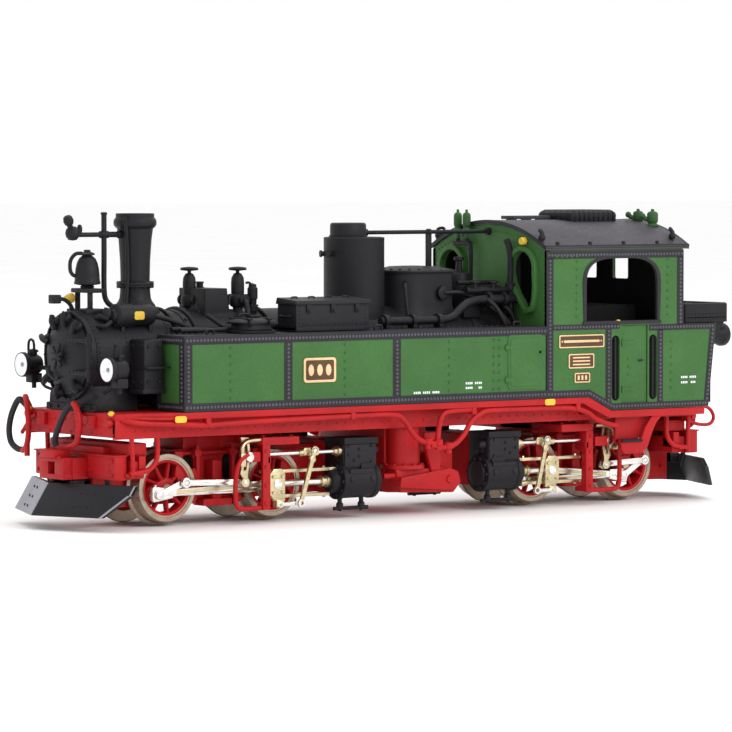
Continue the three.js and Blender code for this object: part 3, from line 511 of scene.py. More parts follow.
HALF = CAB_HIGH.y
CAB_FRONT = CAB_LOW.x
TANK_FRONT = TANK_LOW.x
TANK_INNER = TANK_LOW.y
TANK_BASE = TANK_LOW.z
TANK_TOP = TANK_HIGH.z
DECK_TOP = DECK_HIGH.z
DECK_UNDER = DECK_TOP - 0.8
FRONT_BEAM = DECK_LOW.x
SMOKE_FRONT = SMOKE_LOW.x
BARREL_R = BOILER_HIGH.y
BARREL_Z = BOILER_HIGH.z - BARREL_R
SMOKE_R = SMOKE_HIGH.z - BARREL_Z
ROOF_OVERHANG = 0.9
CAB_REAR = ROOF_HIGH.x - ROOF_OVERHANG

# Heights and breaks of the side wall that the boxes of the frame do not tell.
BUNKER_TOP = 23.9
DROP_START = 25.6
DROP_END = 29.4
DROP_Z = 12.75
EAVE_Z = 34.37

# Rivets: spacing along a band, then radius, height and, for two of them, the number of the material.
BAND_PITCH = 0.52
# Material 5 is the lighter rivet paint of painted highlight.
BAND_RIVET = (0.2, 0.13, 5)
# Material 6 is the darker green of painted shade.
FIELD_RIVET = (0.18, 0.13, 6)
FINE_RIVET = (0.13, 0.08)


def roof_arc(drop, half, steps=20):
    """Points [y, z] along the roof's curve from one eave to the other."""
    rise = ROOF_HIGH.z - EAVE_Z
    radius = (ROOF_HIGH.y**2 + rise**2) / (2 * rise)
    centre = ROOF_HIGH.z - radius
    points = []
    for k in range(steps + 1):
        y = -half + 2 * half * k / steps
        points.append((y, centre + sqrt((radius - drop) ** 2 - y * y)))
    return points


# ------------------------------------------------------------------ underframe


def underframe():
    frame_piece = Solid("underframe", RED, YELLOW, BLACK)
    front_half = 10.1
    outline = [(FRONT_BEAM, -front_half), (TANK_FRONT, -HALF), (DROP_START, -HALF), (DROP_START, HALF),
        (TANK_FRONT, HALF), (FRONT_BEAM, front_half)]
    frame_piece.plate("z", outline, DECK_UNDER, DECK_TOP, bevel=0.08)
    slope = [(DROP_START - 1, DECK_UNDER), (DROP_START - 1, DECK_TOP), (DROP_START, DECK_TOP),
        (DROP_END, DROP_Z - 0.1), (45.6, DROP_Z - 0.1), (45.6, 11.7), (DROP_END - 0.4, 11.7),
        (DROP_START - 0.4, DECK_UNDER - 0.3)]
    frame_piece.plate("y", slope, 0.03 - HALF, HALF - 0.03, bevel=0.08)
    frame_piece.block(FRONT_BEAM, FRONT_BEAM + 0.8, -front_half, front_half, 11.6, DECK_UNDER + 0.1,
        bevel=0.12)
    frame_piece.block(44.8, 45.6, -9.5, 9.5, 10.6, 12.2, bevel=0.12)
    frame_piece.rivets(row((FRONT_BEAM, -9.6, 13.4), (FRONT_BEAM, 9.6, 13.4), 1.2)
        + row((FRONT_BEAM, -9.6, 12.0), (FRONT_BEAM, 9.6, 12.0), 2.4), (-1, 0, 0), 0.16, 0.12)
    frame_piece.rivets(row((45.6, -9, 11.4), (45.6, 9, 11.4), 1.5), (1, 0, 0), 0.16, 0.12)
    for side in (-1, 1):
        y0, y1 = on_side(side, 9.4, 10)
        frame_piece.block(FRONT_BEAM, DROP_START, y0, y1, 11.4, DECK_UNDER + 0.1)
        frame_piece.block(DROP_START - 0.1, 45.4, y0, y1, 11.4, 12.2)
        frame_piece.rivets(row((-46, side * 10, 12.3), (25, side * 10, 12.3), 1.4), (0, side, 0), 0.14, 0.1)
        rail_y = side * 11.85
        frame_piece.tube([(-46.6, rail_y * 0.84, 13.8), (-44.6, rail_y * 0.93, 13.4), (-38.7, rail_y, 13.1),
            (-35.2, rail_y, 12.9), (-28.7, rail_y, 13.1), (-21.1, rail_y, 13.2), (-13.3, rail_y, 13.3),
            (-6.7, rail_y, 13.3), (-4.8, rail_y, 12.6), (-3.5, rail_y, 11.0), (-2.2, rail_y, 9.9),
            (-0.4, rail_y, 9.4), (0.6, rail_y, 9.6), (0.9, rail_y, 11.3), (1.4, rail_y, 12.8),
            (2.7, rail_y, 13.4), (6.5, rail_y, 13.5)], 0.36, sides=12)
        frame_piece.tube([(-0.4, rail_y, 9.2), (1.8, rail_y, 8.8), (3.6, rail_y, 9.2), (5.1, rail_y, 10.5),
            (6.2, rail_y, 12.0), (7.6, rail_y, 12.9), (9.2, rail_y, 13.3), (16, rail_y, 13.3),
            (22.5, rail_y, 13.2), (25.3, rail_y, 12.6), (27.0, rail_y, 11.6), (29.0, rail_y, 10.9),
            (30.6, rail_y, 10.6)], 0.36, sides=12)
        frame_piece.tube([(-46.6, rail_y * 0.84, 14.0), (-43.0, rail_y * 0.97, 13.9),
            (-39.7, rail_y, 13.85), (-35.4, rail_y, 13.9)], 0.2)
        for x, z in ((-0.9, 9.5), (0.8, 9.3), (2.4, 8.8)):
            frame_piece.turn("z", (x, rail_y), [(0, z - 0.9), (0.45, z - 0.8), (0.45, z - 0.3),
                (0.62, z - 0.2), (0.62, z + 0.5), (0.4, z + 0.6), (0, z + 0.7)], 14)
        for x in (-35.2, -13.0, 6.4, 23.7):
            frame_piece.block(x - 0.35, x + 0.35, *on_side(side, 11.3, 12.3), 12.9, DECK_UNDER + 0.05,
                bevel=0.12)
        a, b = on_side(side, 11.3, 11.9)
        step_back = [(31.2, 12.2), (31.2, 8.2), (34.6, 8.2), (35.6, 9.2), (36.4, 10.6), (37.6, 12.2)]
        frame_piece.plate("y", step_back, *on_side(side, 10.3, 10.8), bevel=0.1)
        tread = [(31.2, 8.7), (31.4, 7.4), (31.9, 6.8), (34.9, 6.8), (35.9, 7.6), (36.6, 9.4), (37.4, 10.8),
            (38.6, 11.9), (36.8, 11.9), (35.6, 10.4), (34.8, 8.7)]
        frame_piece.plate("y", tread, a, b, bevel=0.12)
        frame_piece.block(31.3, 34.8, *on_side(side, 10.4, 12.2), 8.35, 8.72, 2, 0.08)
        for x, z in ((-39.4, 13.75), (18.9, 14.1)):
            centre_y = side * (HALF - 0.02)
            frame_piece.plate("y", rounded(x - 0.85, x + 0.85, z - 0.42, z + 0.42, 0.3), centre_y,
                centre_y + side * 0.16, tone=1, bevel=0.05)
        frame_piece.ball((FRONT_BEAM - 0.1, side * 9.3, 14.6), 0.42, tone=1, squash=0.8)
    for x in (-29.1, 29.1):
        pad = DECK_UNDER if x < 0 else 11.9
        frame_piece.turn("z", (x, 0), [(0, 9.2), (1.4, 9.2), (1.5, 9.3), (1.5, 11.3), (3, 11.4), (3, pad),
            (0, pad)])
    for x0, x1 in ((-45, -31), (-27, -14), (-12, -6)):
        for side in (-1, 1):
            a, b = on_side(side, 3.6, 4.4)
            frame_piece.block(x0, x1, a, b, 12.7, DECK_UNDER + 0.05)
    frame_piece.done("chassis", "red_frame", "main_frame")


def ash_hopper():
    hopper = Solid("ash_hopper", RED, CAST)
    outline = [(-4.1, 13.7), (-4.1, 6.2), (-3.4, 2.9), (5.6, 2.6), (7, 4.2), (7, 8), (3.2, 9.4),
        (1.6, 13.7)]
    hopper.plate("y", outline, -6.8, 6.8, bevel=0.15)
    wing = [(-4, 6), (-3.2, 3), (5.4, 2.7), (6.6, 4), (6.2, 5.4), (4.6, 6)]
    hopper.plate("y", wing, -9.2, 9.2, bevel=0.2)
    for side in (-1, 1):
        a, b = on_side(side, 8.9, 9.6)
        hopper.turn("z", (-1.5, side * 7.2), [(0, 6.0), (2.9, 6.0), (2.9, 6.5), (2.3, 6.6), (2.3, 11.2),
            (2.5, 11.3), (2.5, 11.7), (2.2, 11.8), (2.2, 13.6), (0, 13.6)], 40)
        hopper.bolts(around("z", 6.5, (-1.5, side * 7.2), 2.6, range(0, 360, 30)), (0, 0, 1), 0.24, 0.2)
        hopper.plate("y", [(0.3, 10.6), (0.5, 9.0), (1.6, 5.2), (3.0, 5.2), (2.7, 9.6), (2.6, 10.6)], a, b,
            bevel=0.1)
        lever = [(-3.8, 3.7)] + arc((4.2, 4.5), 1.4, -95, 95, 12) + [(-3.6, 5.0)]
        hopper.plate("y", lever, *on_side(side, 9.1, 9.9), bevel=0.14)
        hopper.turn("y", (4.2, 4.5), [(0, side * 9.8), (0.6, side * 9.8), (0.5, side * 10.1),
            (0, side * 10.1)], 20)
        hopper.rod("x", (side * 8.6, 5.2), 0.34, -5.6, -3.2, 14)
        hopper.rivets(row((-2.6, side * 9.2, 3.6), (5.0, side * 9.2, 3.4), 0.9), (0, side, 0), 0.14, 0.1)
        hopper.turn("y", (2.9, 7.0), [(0, side * 6.7), (1.15, side * 6.8), (1.15, side * 8.4),
            (0.7, side * 8.5), (0, side * 8.5)], 24)
    hopper.done("chassis", "red_frame", "ash_pan")


# ------------------------------------------------------------------ boiler, smokebox and what stands on them


def boiler_barrel():
    barrel = Solid("boiler_barrel", BLACK, CAST)
    z, r = BARREL_Z, BARREL_R
    x0, x1 = BOILER_LOW.x, BOILER_HIGH.x
    barrel.rod("x", (0, z), r - 0.12, x0, x1, 72)
    for x in (x0 + 0.7, -32.6, -24.6, -12.4, 3.4, 12.5):
        barrel.hoop("x", (0, z), [(r - 0.2, x - 0.45), (r, x - 0.4), (r, x + 0.4), (r - 0.2, x + 0.45)], 72,
            tone=1)
        for side in (-1, 1):
            angle = radians(52)
            spot_at = (x, side * r * cos(angle), z + r * sin(angle))
            barrel.bolts([spot_at], (0, side * cos(angle), sin(angle)), 0.28, 0.18)
    barrel.block(5, x1, -4.6, 4.6, 14.7, z, bevel=0.2)
    barrel.block(-30, 4, -1.6, 1.6, 14.7, z - 3, bevel=0.2)
    for x in (-33.4, -9.6):
        barrel.block(x - 0.8, x + 0.8, -4.4, 4.4, 14.7, z - 2.5, bevel=0.2)
    barrel.done("chassis", "black_body", "boiler")


def smokebox_drum():
    drum = Solid("smokebox_drum", BLACK, CAST)
    z, r = BARREL_Z, SMOKE_R
    x0, x1 = SMOKE_FRONT, SMOKE_HIGH.x
    drum.turn("x", (0, z), [(0, x0 + 0.3), (r - 0.45, x0 + 0.3), (r - 0.45, x0), (r - 0.2, x0),
        (r - 0.15, x0 + 0.12), (r - 0.15, x0 + 0.7), (r - 0.05, x0 + 0.75), (r - 0.05, x1 - 1.0),
        (r, x1 - 0.95), (r, x1 - 0.05), (r - 0.1, x1), (0, x1)], 96)
    for x in (x0 + 1.1, x0 + 5.2, x1 - 0.5):
        for dot in around("x", x, (0, z), r * 0.992, range(-30, 211, 6)):
            drum.rivets([dot], (0, dot[1], dot[2] - z), 0.15, 0.11)
    drum.rivets(around("x", x0, (0, z), r - 0.32, range(0, 360, 12)), (-1, 0, 0), 0.14, 0.1)
    saddle = [(-5.2, DECK_TOP + 0.05), (5.2, DECK_TOP + 0.05), (5.0, 16.6), (4.3, 17.6), (4.2, z),
        (-4.2, z), (-4.3, 17.6), (-5.0, 16.6)]
    drum.plate("x", saddle, x0 + 0.5, -41, bevel=0.15)
    drum.plate("x", [(-5.5, DECK_TOP + 0.05), (5.5, DECK_TOP + 0.05), (5.5, 15.5), (-5.5, 15.5)], x0 + 0.3,
        x0 + 0.9, bevel=0.12)
    drum.bolts([(x0 + 0.3, y, 15.05) for y in (-4.6, -2.8, -1, 1, 2.8, 4.6)], (-1, 0, 0), 0.26, 0.18)
    for side in (-1, 1):
        inner, outer = on_side(side, 5.0, 8.55)
        drum.block(-42.3, -39.5, inner, outer, 16.9, 23.5, bevel=0.3)
        drum.block(-42.5, -39.3, *on_side(side, 5.4, 8.6), 16.8, 17.4, bevel=0.12)
        drum.bolts([(x, side * 8.55, zz) for x in (-41.7, -40.1) for zz in (18.3, 22.7)], (0, side, 0),
            0.26, 0.18)
        drum.bolts([(-42.3, side * y, zz) for y in (6.1, 7.9) for zz in (18.3, 22.7)], (-1, 0, 0), 0.26,
            0.18)
        drum.tube([(-41.9, side * 8.5, 19.9), (-41.9, side * 9.1, 20.0), (-39.9, side * 9.1, 20.0),
            (-39.9, side * 8.5, 19.9)], 0.16, curved=False)
        drum.block(-42.5, -38.9, *on_side(side, 5.0, 9.4), 19.95, 20.15, bevel=0.05)
    drum.tube([(x0 + 1.2, 0.6, z + r - 0.2), (x0 + 0.7, 0.6, z + r + 0.7), (x0 - 0.2, 0.6, z + r + 1.3),
        (x0 - 1.0, 0.6, z + r + 1.3)], 0.26)
    drum.block(x0 - 2.1, x0 - 0.9, 0, 1.2, z + r + 0.8, z + r + 1.9, bevel=0.15)
    drum.done("chassis", "black_body", "smokebox")


def door_dish():
    dish = Solid("smokebox_door_dish", BLACK, CAST)
    z = BARREL_Z
    x = SMOKE_FRONT
    outline = [(0, x - 1.15), (0.8, x - 1.13), (1.7, x - 1.05), (2.7, x - 0.88), (3.5, x - 0.66),
        (4.1, x - 0.42), (4.45, x - 0.2), (4.6, x - 0.15), (4.72, x - 0.1), (4.78, x), (4.78, x + 0.25),
        (0, x + 0.25)]
    dish.turn("x", (0, z), outline, 96)
    for degree in (25, 63, 95, 127, 233, 285, 322):
        angle = radians(degree)
        u, v = cos(angle), sin(angle)
        centre = Vector((x - 0.1, 4.7 * u, z + 4.7 * v))
        dish.turn_between(centre, Vector((-1, 0, 0)), [(0, -0.2), (0.62, -0.2), (0.62, 0.35), (0.45, 0.6),
            (0.3, 1.1), (0, 1.15)], sides=8)
        dish.tube([(x - 0.7, 5.5 * u, z + 5.5 * v), (x - 1.0, 4.7 * u, z + 4.7 * v),
            (x - 0.8, 3.7 * u, z + 3.7 * v)], 0.36, sides=8)
    dish.turn("x", (0, z), [(0, x - 1.65), (0.4, x - 1.62), (0.55, x - 1.5), (0.6, x - 1.2),
        (0.95, x - 1.1), (0.95, x - 0.9), (0, x - 0.9)], 28)
    for turn, reach in ((20, 1.0), (50, 1.5), (112, 1.7), (160, 1.2)):
        u, v = cos(radians(turn)), sin(radians(turn))
        dish.tube([Vector((x - 1.6, s * reach * u, z + s * reach * v)) for s in (-1, 1)], 0.2, sides=8,
            curved=False)
    dish.tube([(x - 1.3, 2.4, z - 1.3), (x - 1.35, 2.0, z - 2.3), (x - 1.3, 1.0, z - 2.9),
        (x - 1.2, 0.2, z - 2.7)], 0.2, sides=8)
    for zz in (z + 2.0, z - 2.0):
        strap = [(-5.9, zz - 0.28), (-5.9, zz + 0.28), (-1.4, zz + 0.2), (-1.4, zz - 0.2)]
        dish.plate("x", strap, x - 0.95, x - 0.7, bevel=0.05)
        dish.rivets(row((x - 0.95, -5.0, zz), (x - 0.95, -1.8, zz), 0.8), (-1, 0, 0), 0.13, 0.1)
    dish.rod("z", (x - 0.6, -5.7), 0.26, z - 3.0, z + 3.0, 14)
    for zz in (z + 2.0, z - 2.0):
        dish.rod("z", (x - 0.6, -5.7), 0.42, zz - 0.5, zz + 0.5, 16)
    dish.done("chassis", "black_body", "smokebox_door")


def chimney_stack():
    stack = Solid("chimney_stack", BLACK, CAST, YELLOW)
    x = span("chimney")[0].x + 3.4
    base = BARREL_Z + SMOKE_R
    stack.loft([ring("z", base - 1.6, (x, 0), 3.4, 48), ring("z", base - 0.35, (x, 0), 3.1, 48),
        ring("z", base + 0.3, (x, 0), 2.55, 48)], 0)
    stack.turn("z", (x, 0), [(0, base), (2.6, base), (2.5, base + 0.45), (2.15, base + 0.9), (1.97, 28.4),
        (1.88, 29.4), (1.88, 29.75), (2.3, 29.78), (2.36, 29.85), (2.36, 30.0), (2.3, 30.06), (2.36, 30.12),
        (2.36, 30.34), (2.28, 30.42), (1.84, 30.5), (1.84, 31.0), (1.9, 33.2), (2.08, 35.8), (2.26, 37.1),
        (2.5, 37.3), (2.68, 37.55), (2.71, 37.9), (2.66, 38.2), (2.5, 38.42), (2.42, 38.5), (2.42, 38.95),
        (2.34, 39.02), (2.14, 39.02), (2.05, 38.9), (1.85, 37.5), (1.75, 35.2), (0, 35.2)], 56)
    for z, up in ((30.38, 1), (29.8, -1)):
        stack.bolts(around("z", z, (x, 0), 2.14, range(0, 360, 30)), (0, 0, up), 0.2, 0.14)
    away = Vector((-0.86, -0.51, 0))
    stack.tube([Vector((x, 0, z)) + away * r for r, z in ((2.9, 26.8), (2.5, 28.4), (2.15, 31.0),
        (2.2, 34.0), (2.5, 37.0), (2.75, 38.6))], 0.26)
    spindle = (-4.6, 26.45)
    front = x - 6.6
    stack.turn("x", spindle, [(0, front), (0.7, front), (0.8, front + 0.3), (1.2, front + 0.4),
        (1.45, front + 0.6), (1.45, front + 2.7), (1.3, front + 2.8), (1.3, x - 1.0), (1.1, x - 0.6),
        (0.6, x - 0.3), (0, x - 0.25)], 36)
    stack.bolts(around("x", front + 0.6, spindle, 1.1, range(0, 360, 45)), (-1, 0, 0), 0.24, 0.24)
    stack.ball((front - 0.1, spindle[0] + 0.6, spindle[1] + 0.2), 0.75, sides=14)
    stack.plate("y", rounded(x - 4.1, x - 2.6, 25.9, 26.95, 0.3), spindle[0] - 1.46, spindle[0] - 1.2,
        tone=2, bevel=0.08)
    stack.tube([(front - 0.2, -4.4, 26.0), (front - 1.0, -3.6, 26.3), (front - 1.5, -2.6, 25.9)], 0.4)
    stack.tube([(front - 0.3, -5.0, 25.7), (front - 1.2, -5.1, 25.2), (front - 1.8, -4.2, 25.2)], 0.3)
    stack.tube([(x - 0.4, -4.6, 26.3), (x + 1.4, -4.8, 25.9), (x + 4.0, -5.1, 25.0), (x + 6.2, -5.1, 23.8)],
        0.34)
    for px in (x - 0.9, x - 5.0):
        stack.block(px - 0.25, px + 0.25, -4.9, -3.4, 23.6, 25.4, bevel=0.06)
    stack.done("chassis", "black_body", "chimney")


def bell_and_feedpipe():
    bell_piece = Solid("bell_and_steam_pipe", BLACK, CAST, YELLOW)
    x = -45.1
    base = BARREL_Z + SMOKE_R
    bell_piece.turn("z", (x, 0), [(0, 29.7), (0.8, 29.7), (0.9, 30.0), (0.7, 30.1), (1.35, 30.2),
        (1.62, 30.26), (1.66, 30.45), (1.58, 30.7), (1.54, 31.4), (1.46, 32.2), (1.3, 32.9), (1.04, 33.45),
        (0.7, 33.75), (0.55, 33.8), (0.95, 33.9), (0.98, 34.05), (0.7, 34.2), (0.42, 34.3), (0.42, 34.5),
        (0.2, 34.55), (0, 34.55)], 40)
    bell_piece.tube([(x - 0.6, 0.2, 34.1), (x - 1.4, 0.5, 34.0), (x - 2.0, 0.7, 33.2),
        (x - 2.05, 0.7, 32.0), (x - 1.7, 0.6, 31.4), (x - 1.3, 0.4, 31.3)], 0.24)
    for xx, yy in ((x - 0.3, 1.75), (x - 0.6, -1.55)):
        bell_piece.block(xx - 0.3, xx + 0.3, yy - 0.22, yy + 0.22, base - 0.2, 29.5, bevel=0.08)
    bell_piece.block(x - 1.1, x + 1.1, -2.1, 2.1, 29.2, 29.75, bevel=0.12)
    bell_piece.block(x - 1.6, x + 1.9, -2.3, 2.3, base - 0.55, base + 0.1, bevel=0.12)
    bell_piece.bolts([(xx, yy, base + 0.1) for xx in (x - 1.2, x + 1.5) for yy in (-1.9, 1.9)], (0, 0, 1),
        0.24, 0.18)
    bell_piece.turn("x", (2.0, 28.5), [(0, x - 2.0), (0.3, x - 2.0), (0.45, x - 1.7), (0.6, x - 1.4),
        (0.6, x - 0.9), (0, x - 0.9)], 20, tone=2)
    pipe_x = -42.6
    bell_piece.tube([(pipe_x + 0.5, -1.5, base - 0.6), (pipe_x + 0.7, -0.9, base + 0.2),
        (pipe_x + 0.3, -0.1, base + 1.0), (pipe_x, 0, base + 2.4), (pipe_x, 0, 34.0), (pipe_x, 0, 39.15)],
        0.34, sides=14, steps=4)
    bell_piece.turn("z", (pipe_x, 0), [(0, 38.9), (0.42, 38.9), (0.42, 39.1), (0.3, 39.2), (0, 39.2)], 20)
    bell_piece.turn("x", (0, 36.4), [(0, -47.3), (0.3, -47.3), (0.3, -43.3), (0.45, -43.2), (0.45, -42.0),
        (0.36, -41.9), (0.36, -40.6), (0.5, -40.5), (0.5, -40.2), (0, -40.1)], 16)
    bell_piece.turn_between(Vector((-47.25, 0, 36.6)), Vector((0, 0, 1)),
        [(0, -0.92), (0.5, -0.84), (0.82, -0.45), (0.92, 0), (0.8, 0.5), (0.44, 0.82), (0, 0.9)], 20)
    bell_piece.turn_between(Vector((-47.4, 0, 36.8)), Vector((-0.5, 0, 1.5)),
        [(0, 0), (0.4, 0), (0.35, 0.8), (0.55, 1.0), (0.66, 1.4), (0.55, 1.9), (0.3, 2.1), (0, 2.15)], 20)
    bell_piece.turn("z", (-46.2, 0), [(0, 36.4), (0.3, 36.5), (0.34, 37.2), (0.24, 37.6), (0, 37.7)], 14)
    bell_piece.done("chassis", "black_body", "bell")


def sand_dome():
    sand = Solid("sand_box_and_valves", BLACK, CAST)
    x0, x1 = -29.4, -25.9
    sand.loft([ring_box(x0 - 0.3, x1 + 3.4, -3.3, 3.3, 24.8, 0.8), ring_box(x0, x1 + 3.0, -2.95, 2.95, 26.2,
        0.3), ring_box(x0, x1 + 0.4, -2.95, 2.95, 26.6, 0.25), ring_box(x0, x1, -2.95, 2.95, 29.5, 0.25)],
        0, bevel=0.06)
    sand.turn("z", (-27.2, 1.4), [(0, 29.1), (0.75, 29.1), (0.75, 29.5), (0.45, 29.65), (0.45, 30.1),
        (0.6, 30.15), (0.5, 30.3), (0, 30.3)], 18)
    for x, y in ((-29.0, 1.1), (-23.5, -1.7)):
        sand.turn("z", (x, y), [(0, 24.8), (0.85, 24.8), (0.85, 26.2), (0.62, 26.5), (0.62, 27.0),
            (0.95, 27.2), (1.1, 27.8), (1.05, 28.4), (0.8, 28.7), (0.84, 28.9), (0.84, 30.2), (0.78, 30.8),
            (0.5, 31.3), (0.24, 31.4), (0.24, 31.65), (1.1, 31.75), (1.18, 31.9), (1.05, 32.1),
            (0.4, 32.18), (0, 32.2)], 32)
        for side in (-1, 1):
            sand.turn("y", (x, 28.0), [(0, y + side * 0.5), (0.55, y + side * 0.5), (0.55, y + side * 1.3),
                (0.72, y + side * 1.35), (0.72, y + side * 1.7), (0, y + side * 1.75)], 18)
        sand.tube([(x, y - 1.5, 28.0), (x - 0.2, y - 2.3, 27.4), (x - 0.3, y - 2.8, 26.0),
            (x, y - 3.0, 24.4)], 0.36)
    sand.turn("x", (-1.7, 28.2), [(0, -23.5), (0.5, -23.4), (0.5, -21.4), (0, -21.3)], 18)
    sand.turn("z", (-21.4, -2.0), [(0, 25.2), (0.42, 25.2), (0.42, 26.4), (0.66, 26.5), (0.66, 27.2),
        (0.5, 27.3), (0.55, 28.0), (0.66, 28.1), (0.66, 29.4), (0.5, 29.6), (0.5, 29.9), (0.2, 30.0),
        (0, 30.1)], 24)
    sand.tube([(-21.6, -2.0, 29.9), (-22.0, -2.0, 30.15), (-22.4, -2.0, 30.1)], 0.16)
    sand.bolts([(-21.4 + 0.62 * cos(a), -2.0 + 0.62 * sin(a), 27.2) for a in (0.8, 2.4, 3.9, 5.5)],
        (0, 0, 1), 0.16, 0.16)
    for x, r in ((-34.8, 0.28), (-31.9, 0.28), (-20.2, 0.24)):
        sand.tube(around("x", x, (0, BARREL_Z), BARREL_R + 0.1, range(8, 173, 6)), r, steps=2)
    sand.tube([(-30.4, -5.0, 26.2), (-29.4, -6.6, 25.0), (-29.0, -7.6, 24.55), (-30.2, -8.2, 24.5),
        (-36.6, -8.0, 24.5)], 0.3)
    sand.tube([(-24.0, -4.6, 24.6), (-19.6, -5.0, 24.7), (-18.4, -5.4, 26.2), (-17.8, -5.7, 26.6)], 0.4)
    sand.done("chassis", "black_body", "sand_box")


def ring_box(x0, x1, y0, y1, z, radius, steps=5):
    """Points of a rounded rectangle lying at a height."""
    return [Vector((x, y, z)) for x, y in rounded(x0, x1, y0, y1, radius, steps)]


def steam_dome():
    dome = Solid("steam_dome_shell", BLACK, CAST)
    x, top = -3.9, span("steam_dome")[1].z
    dome.turn("z", (x, 0), [(0, 24.0), (4.1, 24.2), (3.98, 24.6), (3.94, 25.0), (3.94, 35.4), (3.96, 35.5),
        (3.96, 35.62), (3.88, 35.72), (3.6, 35.76), (0, 35.8)], 80)
    dome.turn("z", (x - 0.95, 0), [(0, 35.7), (2.5, 35.7), (2.5, 35.95), (2.35, 36.0), (2.35, top - 0.35),
        (2.28, top - 0.12), (2.1, top), (0, top)], 56)
    for a in (160, 185):
        u, v = cos(radians(a)), sin(radians(a))
        dome.turn_between(Vector((x + 3.8 * u, 3.8 * v, 33.6)), Vector((u, v, 0)),
            [(0, 0), (0.32, 0), (0.32, 0.5), (0.44, 0.55), (0.44, 0.8), (0, 0.82)], 16)
    dome.tube([(x - 1.6, -3.4, 27.6), (x - 2.2, -4.3, 26.8), (x - 2.4, -5.4, 25.4), (x - 2.4, -5.8, 24.2)],
        0.32)
    dome.done("chassis", "black_body", "steam_dome")


def regulator_cover():
    cover = Solid("regulator_cover", BLACK, CAST)
    x_mid = 4.6

    def outline(grow, z):
        points = arc((x_mid, 0), 3.9 + grow, 90, 270, 18)
        rear = 9.7 + grow
        points += [(rear - 0.6, -3.9 - grow), (rear, -3.3 - grow), (rear, 3.3 + grow),
            (rear - 0.6, 3.9 + grow)]
        return [Vector((x, y, z)) for x, y in points]

    cover.loft([outline(0.5, 25.0), outline(0.15, 26.2), outline(0, 26.8), outline(0, 31.1)], 0)
    cover.loft([outline(0.25, 31.0), outline(0.32, 31.15), outline(0.25, 31.35), outline(-1.6, 31.85),
        outline(-3.4, 31.92)], 0)
    cover.bolts(around("z", 31.45, (x_mid, 0), 3.6, range(100, 261, 20)), (0, 0, 1), 0.2, 0.16)
    cover.bolts([(x, s * 3.5, 31.4) for x in (6, 7.6, 9.2) for s in (-1, 1)], (0, 0, 1), 0.2, 0.16)
    for s in (-1, 1):
        cover.turn("y", (7.4, 28.4), [(0, s * 3.8), (0.9, s * 3.8), (0.9, s * 4.5), (0.6, s * 4.6),
            (0, s * 4.6)], 24)
        cover.tube([(7.4, s * 4.5, 28.4), (9.8, s * 4.9, 28.4), (12.6, s * 4.9, 27.6),
            (CAB_FRONT, s * 4.9, 27.4)], 0.26)
        cover.tube([(2.2, s * 3.0, 29.8), (1.2, s * 4.3, 29.2), (0.9, s * 5.0, 27.0), (0.9, s * 5.6, 24.2)],
            0.26)
    cover.done("chassis", "black_body", "regulator_box")


def reach_pipe():
    pipe = Solid("regulator_pipe", BLACK, CAST)
    z = (span("regulator_rod")[0].z + span("regulator_rod")[1].z) / 2
    x0, x1 = span("regulator_rod")[0].x, span("regulator_rod")[1].x
    pipe.turn("x", (0, z), [(0, x0), (0.5, x0), (0.5, x0 + 0.4), (0.27, x0 + 0.45), (0.27, 8.0),
        (0.42, 8.05), (0.42, 8.5), (0.27, 8.55), (0.27, x1 - 0.5), (0.5, x1 - 0.45), (0.5, x1), (0, x1)],
        18)
    pipe.block(7.9, 8.6, -0.25, 0.25, 31.5, z - 0.1, bevel=0.06)
    pipe.done("chassis", "black_body", "regulator_rod")


